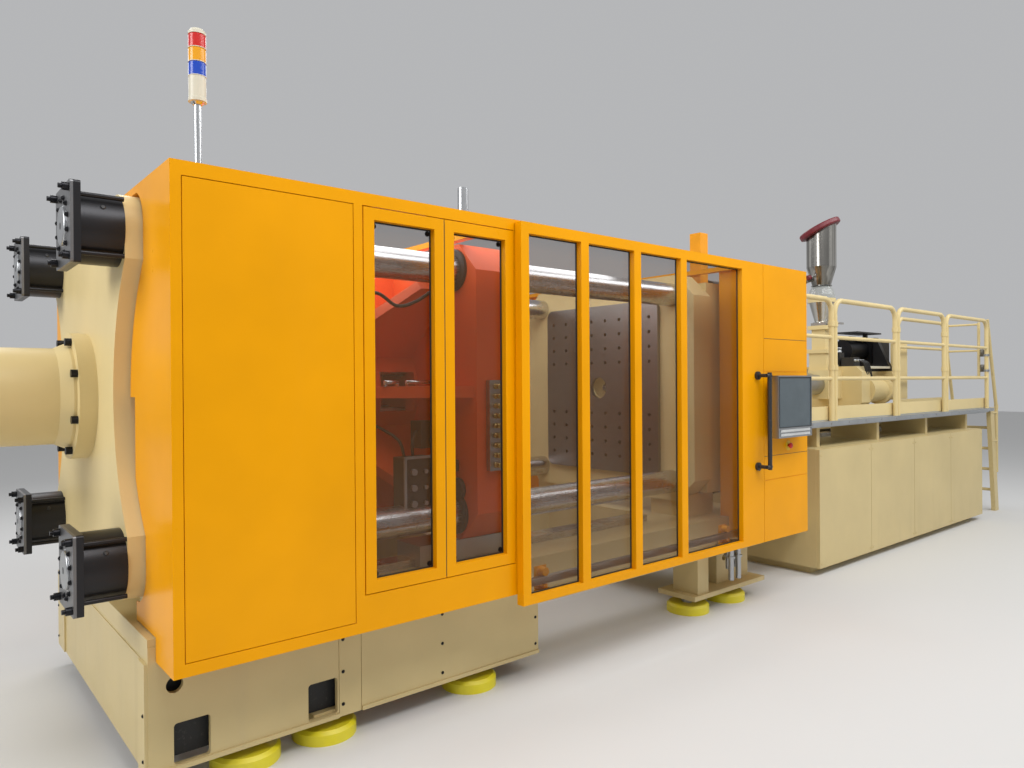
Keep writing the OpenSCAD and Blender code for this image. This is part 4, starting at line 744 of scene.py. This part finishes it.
def screws(name, places, finish, body="machine_frame", head=7.0, height=4.0, washer=10.0):
    """Screw heads at (x, y, z, facing) places in machine stations, as one plain mesh."""
    name = name.replace(" ", "_")
    data = bpy.data.meshes.new(name + " places")
    data.from_pydata([at(*p[:3]) for p in places], [], [])
    facing = data.attributes.new("facing", "FLOAT_VECTOR", "POINT")
    for i, place in enumerate(places):
        facing.data[i].vector = place[3]
    holder = bpy.data.objects.new(name + " holder", data)
    scene.collection.objects.link(holder)
    modifier = holder.modifiers.new("screws", "NODES")
    modifier.node_group = SCREWS
    values = {"Head radius": head / 1000, "Head height": height / 1000, "Washer radius": washer / 1000,
              "Seed": SCREW_SEED, "Finish": finish.material}
    for item in SCREWS.interface.items_tree:
        if item.item_type == "SOCKET" and item.in_out == "INPUT" and item.name in values:
            modifier[item.identifier] = values[item.name]
    shown = holder.evaluated_get(bpy.context.evaluated_depsgraph_get())
    plain = bpy.data.meshes.new_from_object(shown)
    plain.name = name
    holder.modifiers.remove(modifier)
    bpy.data.objects.remove(holder)
    made = bpy.data.objects.new(name, plain)
    scene.collection.objects.link(made)
    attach(made, body)
    print(name, len(places), "screws,", len(plain.polygons), "faces")


OUT, BACK, LEFT, UP = (0, -1, 0), (0, 1, 0), (-1, 0, 0), (0, 0, 1)
SIDES = (("operator side", -1, OUT), ("rear side", 1, BACK))
CORNERS = ((-1, -1), (-1, 1), (1, -1), (1, 1))

# %% [markdown]
# ## Screws of the sheets and nuts
# Screws sit at the corners of each bolted pane, beside the seams of the base, down the edges of the
# cabinet's sheets, along the platform and in a ring around each nut. The ends of the parts come from
# the model, and the places between them were read off the photo.

# %% Measured stations used below
PANEL_LO, PANEL_HI = stations("window_panels")
BOX_LO, BOX_HI = stations("control_box")
CAB_LO, CAB_HI = stations("injection_base")
DECK_LO, DECK_HI = stations("platform_deck")
PANEL_WIDTH, PANE_INSET = 400, 50
PANE_FACE, GATE_PANE_FACE = 1114, 1162  # distances from the centreline
BASE_FACE, CABINET_FACE = 924, 985
PANE_SCREW_X, PANE_SCREW_Z = 66, 68  # inwards from a panel's edges
BASE_SCREWS_X, BASE_SCREWS_Z = (756, 1280, 1880), (434, 293, 152)
CABINET_BAYS, CABINET_SCREW_X, CABINET_SCREWS_Z = 4, 30, (96, 950)
NUT_RING, NUT_SCREWS = 104, 12
STRIP_SCREWS, STRIP_PITCH, STRIP_Z = 15, 310, 1194
print("window panels", PANEL_LO, PANEL_HI, "cabinet", CAB_LO, CAB_HI)

# %% Screws of the guard, the base and the cabinet
panel_starts = (PANEL_LO[0], PANEL_HI[0] - PANEL_WIDTH)
bay = (CAB_HI[0] - CAB_LO[0]) / CABINET_BAYS
for name, side, facing in SIDES:
    places = [(x0 + dx, side * (PANE_FACE + 1), z, facing) for x0 in panel_starts
              for dx in (PANE_SCREW_X, PANEL_WIDTH - PANE_SCREW_X)
              for z in (PANEL_LO[2] + PANE_SCREW_Z, PANEL_HI[2] - PANE_SCREW_Z)]
    screws("window pane screws " + name, places, black_steel, head=8, washer=12)
    base = [(x, side * BASE_FACE, z, facing) for x in BASE_SCREWS_X for z in BASE_SCREWS_Z]
    screws("base sheet screws " + name, base, black_steel, head=6, washer=8)
    cabinet = [(CAB_LO[0] + i * bay + dx, side * CABINET_FACE, z, facing) for i in range(CABINET_BAYS)
               for dx in (CABINET_SCREW_X, bay - CABINET_SCREW_X) for z in CABINET_SCREWS_Z]
    screws("cabinet screws " + name, cabinet, base_sheet_shade_and_dirt, head=7, height=4, washer=10)
end_places = [(-40, y, z, LEFT) for y in (-900, 900) for z in (158, 327)]
screws("end sheet screws", end_places, black_steel, head=6, washer=8)
turns = [math.pi * (i + 0.5) * 2 / NUT_SCREWS for i in range(NUT_SCREWS)]
ring = [(PLATE_X, sy * BAR_Y + NUT_RING * math.cos(a), AXIS_Z + sz * BAR_Z + NUT_RING * math.sin(a), LEFT)
        for sy, sz in CORNERS for a in turns]
screws("nut ring screws", ring, black_steel, head=9, height=9, washer=11)
strip = [(DECK_LO[0] + 90 + i * STRIP_PITCH, DECK_LO[1], STRIP_Z, OUT) for i in range(STRIP_SCREWS)]
screws("platform strip screws", strip, machined, head=7, washer=11)

# %% [markdown]
# ## Windows
# Each smoked sheet sits in a black rubber gasket, and the joint between two bolted panels shows as a
# dark line. The gaskets are thin frames just in front of the sheets.

# %% Gaskets
def gaskets(name, windows, side, face, heights, body):
    """Thin frames in front of a row of sheets, on one side of the machine."""
    piece = Piece()
    near, far = sorted((side * (face + 0.3), side * (face + 6)))
    for x0, x1 in windows:
        piece.frame((x0 + 0.3, near, heights[0] + 0.3), (x1 - 0.3, far, heights[1] - 0.3), 6)
    piece.done(name, rubber, body)


FIRST_PANE, LAST_PANE, GATE_POST = 1610, (2850, 3427), 57
GATE_HEIGHTS = (516, 2265)
pitch = (LAST_PANE[0] - FIRST_PANE) / 3
gate_panes = [(FIRST_PANE + i * pitch, FIRST_PANE + (i + 1) * pitch - GATE_POST) for i in range(3)]
gate_panes.append(LAST_PANE)
panel_panes = [(x + PANE_INSET, x + PANEL_WIDTH - PANE_INSET) for x in panel_starts]
panel_heights = (PANEL_LO[2] + PANE_INSET, PANEL_HI[2] - PANE_INSET)
for name, side, _ in SIDES:
    gaskets("panel gaskets " + name, panel_panes, side, PANE_FACE, panel_heights, "machine_frame")
for (name, side, _), gate in zip(SIDES, ("operator_gate", "rear_gate")):
    gaskets("gate gaskets " + name, gate_panes, side, GATE_PANE_FACE, GATE_HEIGHTS, gate)
print("windows", len(panel_panes) + len(gate_panes), "a side")

# %% Joints between the bolted panels
SEAL_FACE, SEAL_BACK = 1149, 1140
seals = Piece()
for side in (-1, 1):
    y0, y1 = sorted((side * SEAL_FACE, side * SEAL_BACK))
    seals.block((panel_starts[0] + PANEL_WIDTH + 0.3, y0, PANEL_LO[2] + 4),
                (panel_starts[1] - 0.3, y1, PANEL_HI[2] - 4))
seals.done("window panel joint seals", rubber)

# %% [markdown]
# ## Inside the clamp
# Through the windows the moving platen shows its valves, hoses and couplings. They ride on the
# platen, so they travel with it when the mould opens. Their stations were read off the photo.

# %% Fittings of the moving platen
PLATEN_THICK = 330
BACK_X = stations("moving_platen")[1][0] - PLATEN_THICK
valves = Piece()
valves.block((1376, -600, 1204), (1458, -500, 1348))
valves.block((1214, -704, 868), (1380, -590, 1172))
valves.block((1380, -690, 900), (BACK_X, -600, 960)).block((1380, -690, 1080), (BACK_X, -600, 1140))
valves.turned((BACK_X, -690, 985), LEFT, [(0, 60), (22, 60), (26, 54)], 32)
valves.done("platen valve boxes", black_plastic, "moving_platen")
COVER_BACK, COVER_FACE, PLUG_FACE = -704, -712, -722
cover = Piece()
cover.frame((1206, COVER_FACE, 860), (1388, COVER_BACK, 1180), 14)
for z in (940, 1020, 1100):
    for x, radius in ((1260, 17), (1330, 11)):
        cover.rod((x, COVER_BACK, z), (x, PLUG_FACE, z), radius)
cover.done("valve box rim and plugs", machined, "moving_platen")
PIN_Y, PIN_Z, PIN_RADIUS, PIN_FOOT = -520, 1552, 11, 9
pins = Piece()
for x0, x1 in ((1205, 1290), (1335, 1510)):
    pins.rod((x0, PIN_Y, PIN_Z), (x1, PIN_Y, PIN_Z), PIN_RADIUS)
    for x in (x0 + PIN_FOOT, x1 - PIN_FOOT):
        pins.rod((x, PIN_Y, PIN_Z - 22), (x, PIN_Y, PIN_Z + 4), PIN_RADIUS)
pins.done("safety pins", chrome, "moving_platen")
hoses = Piece()
hoses.hose([(BACK_X, -640, 2090), (1440, -650, 2040), (1330, -630, 1968), (1235, -600, 1944),
            (1140, -520, 2010), (1060, -300, 1900), (1040, -170, 1748)], 9)
hoses.hose([(BACK_X, -560, 1130), (1500, -600, 1180), (1440, -560, 1230), (1458, -540, 1280)], 8)
hoses.hose([(1300, -640, 1172), (1290, -650, 1240), (1340, -600, 1290), (1376, -560, 1290)], 8)
hoses.hose([(1250, -640, 1172), (1235, -600, 1260), (1200, -420, 1330), (1180, -280, 1385)], 8)
hoses.done("platen hoses", rubber, "moving_platen")

# %% Water block and wipers of the moving platen
COUPLING = [(0, 15), (8, 15), (9, 10), (26, 10), (27, 13), (34, 13), (35, 8)]
COUPLING_ROWS, COUPLING_PITCH = 9, 51
WIPER = [(0, 80.5), (0, 112), (16, 112), (22, 104), (22, 80.5)]
BLOCK_X, BLOCK_FACE = BACK_X + 60, -880
water_block, couplings = Piece(), Piece()
water_block.block((BLOCK_X, BLOCK_FACE, 1090), (BLOCK_X + 130, -850.3, 1560))
for i in range(COUPLING_ROWS):
    for dx in (38, 92):
        couplings.turned((BLOCK_X + dx, BLOCK_FACE, 1120 + i * COUPLING_PITCH), OUT, COUPLING, 14)
water_block.done("moving platen water block", machined, "moving_platen")
couplings.done("moving platen water block couplings", brass, "moving_platen")
wipers = Piece()
for sy, sz in CORNERS:
    wipers.collar((BACK_X, sy * BAR_Y, AXIS_Z + sz * BAR_Z), LEFT, WIPER, 40)
wipers.done("tie-bar wipers", rubber, "moving_platen")

# %% Painted shade: a black sheet behind the base's openings stands in for the shade inside the base
SHADE_SHEET_BACK, SHADE_SHEET_FACE = 800, 868
shade_sheet = Piece()
for side in (-1, 1):
    y0, y1 = sorted((side * SHADE_SHEET_BACK, side * SHADE_SHEET_FACE))
    shade_sheet.block((0, y0, 130), (860, y1, 500))
shade_sheet.done("painted shade liner", rubber)

# %% [markdown]
# ## Nuts, control box and light tower
# The tie bars end in a machined face with a centre hole, and each nut carries a grease plug. The
# control box gets the joints between its doors and a ring around the stop button, the operator panel
# its keys, and the light tower a ring between its lamps.

# %% Bar ends and plugs
BAR_END_DEPTH, PLUG_X = 9, -132
ends, holes, plugs = Piece(), Piece(), Piece()
for sy, sz in CORNERS:
    y, z = sy * BAR_Y, AXIS_Z + sz * BAR_Z
    ends.turned((PLATE_X, y, z), LEFT, [(0, 74), (5, 74), (BAR_END_DEPTH, 69)], 48)
    # Each centre hole is drawn as a thin black disc: painted shade for the hollow of the hole.
    holes.turned((PLATE_X - BAR_END_DEPTH, y, z), LEFT, [(0, 13), (0.6, 13)], 20)
    plugs.turned((PLUG_X, y - 117, z + 66), (0, -0.87, 0.49), [(0, 9), (3, 9), (4, 6)], 16)
ends.done("tie-bar end faces", machined)
holes.done("tie-bar centre hole shade", black_plastic)
plugs.done("nut grease plugs", black_plastic)

# %% Emergency stop ring
STOP_LO, STOP_HI = stations("estop_button")
stop_x, stop_z = (STOP_LO[0] + STOP_HI[0]) / 2, (STOP_LO[2] + STOP_HI[2]) / 2
stop_ring = Piece()
stop_ring.collar((stop_x, BOX_LO[1], stop_z), OUT, [(0, 9), (0, 34), (3, 34), (4, 31), (4, 9)], 40)
stop_ring.done("emergency stop ring", stop_yellow)

# %% Joints between the control box's doors
DOOR_JOINTS_Z, JOINT_WIDTH = (1042, 1825), 3
door_joints = Piece()
for z in DOOR_JOINTS_Z:
    door_joints.block((BOX_LO[0] + 4, BOX_LO[1] - 0.6, z), (BOX_HI[0] - 4, BOX_LO[1] + 1, z + JOINT_WIDTH))
door_joints.done("control box door joints", black_plastic)

# %% Operator panel: two key strips and a rim
HMI_LO, HMI_HI = stations("hmi_panel")
KEY_INSET, KEY_HEIGHT = 26, 16
strips, rim = Piece(), Piece()
for z in (HMI_LO[2] + 12, HMI_LO[2] + 38):
    strips.block((HMI_LO[0] + KEY_INSET, HMI_LO[1] - 1.5, z),
                 (HMI_HI[0] - KEY_INSET, HMI_LO[1] + 2, z + KEY_HEIGHT))
strips.done("operator panel key strips", light_strip, "operator_panel")
rim.frame((HMI_LO[0] + 8, HMI_LO[1] - 2, HMI_LO[2] + 66), (HMI_HI[0] - 8, HMI_LO[1], HMI_HI[2] - 8), 5)
rim.done("screen rim", black_plastic, "operator_panel")

# %% Rings of the light tower
RING_RADIUS, RING_HEIGHT = 34, 3
rings = Piece()
for i in range(4):
    z = lamp_low + i * lamp_step - RING_HEIGHT / 2
    rings.turned((TOWER_X, TOWER_Y, z), UP, [(0, RING_RADIUS), (RING_HEIGHT, RING_RADIUS)], 40)
rings.done("light tower rings", tower_cream)

# %% [markdown]
# ## Behind the hopper
# The screw drive carries a flat cable shelf over its motor, a tray below it and a cream column at
# its end. The rear housing has a block of oil valves with bright fittings and short black hoses. The
# hopper has two level sensors, and the platform's gate closes by springs.

# %% Shelf, tray and column of the screw drive
MOTOR_LO, MOTOR_HI = stations("drive_motor")
SHELF_Z = MOTOR_HI[2] + 34
TRAY_Z, TRAY_LIP = 1668, -318
shelf = Piece()
shelf.block((MOTOR_LO[0] + 60, -150, SHELF_Z), (CROSS_HI[0] + 120, 110, SHELF_Z + 16))
shelf.block((CROSS_HI[0] - 60, -60, MOTOR_HI[2] - 20), (CROSS_HI[0] - 20, -20, SHELF_Z + 2))
shelf.done("drive cable shelf", black_plastic, "screw_drive")
tray_x0, tray_x1 = MOTOR_LO[0] - 40, CROSS_HI[0] - 70
tray = Piece()
tray.block((tray_x0, TRAY_LIP, TRAY_Z), (tray_x1, -200, TRAY_Z + 8))
tray.block((tray_x0, TRAY_LIP - 6, TRAY_Z), (tray_x1, TRAY_LIP, TRAY_Z + 24))
tray.done("drive tray", tower_cream, "screw_drive")
column = Piece()
column.block((CROSS_HI[0], -385, 1330), (CROSS_HI[0] + 230, -300, 1950))
column.done("drive end column", cream_sheet, "screw_drive")

# %% Oil valves on the rear housing
TOP = stations("feed_throat")[0][2] + 340
LOW_VALVE, HIGH_VALVE, FITTING_Z = 95, 150, TOP + 60
SIDE_FITTING = [(0, 13), (14, 13), (15, 9), (38, 9), (39, 12), (52, 12)]
TOP_FITTING = [(0, 12), (12, 12), (13, 8), (40, 8), (41, 11), (56, 11)]
valves, fittings, lines = Piece(), Piece(), Piece()
valves.block((6990, -250, TOP), (7130, -120, TOP + LOW_VALVE))
valves.block((7010, -90, TOP), (7120, 40, TOP + HIGH_VALVE))
for i in range(4):
    x = 7005 + i * 36
    fittings.turned((x, -250, FITTING_Z), OUT, SIDE_FITTING, 14)
    lines.hose([(x, -300, FITTING_Z), (x + 20, -340, TOP + 30), (x + 60, -348, TOP - 60),
                (x + 130, -330, TOP - 130)], 9, 8, 10)
for i in range(3):
    fittings.turned((7030 + i * 34, -60, TOP + HIGH_VALVE), UP, TOP_FITTING, 14)
valves.done("oil valve blocks", black_plastic, "injection_carriage")
fittings.done("oil fittings", galvanised, "injection_carriage")
lines.done("oil hoses", rubber, "injection_carriage")

# %% Level sensors on the hopper
DRUM_LOW = stations("hopper_drum")[0][2]
SENSOR_START, SENSOR_LENGTH = 100, 76
sensors, caps = Piece(), Piece()
for turn, height, cap in ((146, 66, 22), (168, 104, 26)):
    a = math.radians(turn)
    out = (math.cos(a), math.sin(a), -0.25)
    start = (HOPPER_X + SENSOR_START * out[0], SENSOR_START * out[1], DRUM_LOW + height)
    sensors.turned(start, out, [(0, 16), (60, 16), (61, 21), (SENSOR_LENGTH, 21)], 18)
    caps.turned(start, out, [(SENSOR_LENGTH, cap), (SENSOR_LENGTH + 44, cap),
                             (SENSOR_LENGTH + 48, cap - 6)], 20)
sensors.done("level sensors", galvanised, "injection_carriage")
caps.done("level sensor caps", lid_red, "injection_carriage")

# %% Spring hinges of the platform's gate
HINGE_HI = stations("gate_hinges")[1]
pin_x, pin_y = HINGE_HI[0] - 9, HINGE_HI[1] - 9
SPRING = [(0, 22), (4, 25), (80, 25), (84, 22)]
springs = Piece()
for above_deck in (408, 584):
    springs.turned((pin_x, pin_y, DECK_HI[2] + above_deck), UP, SPRING, 24)
springs.done("gate spring barrels", spring_steel, "platform_gate")
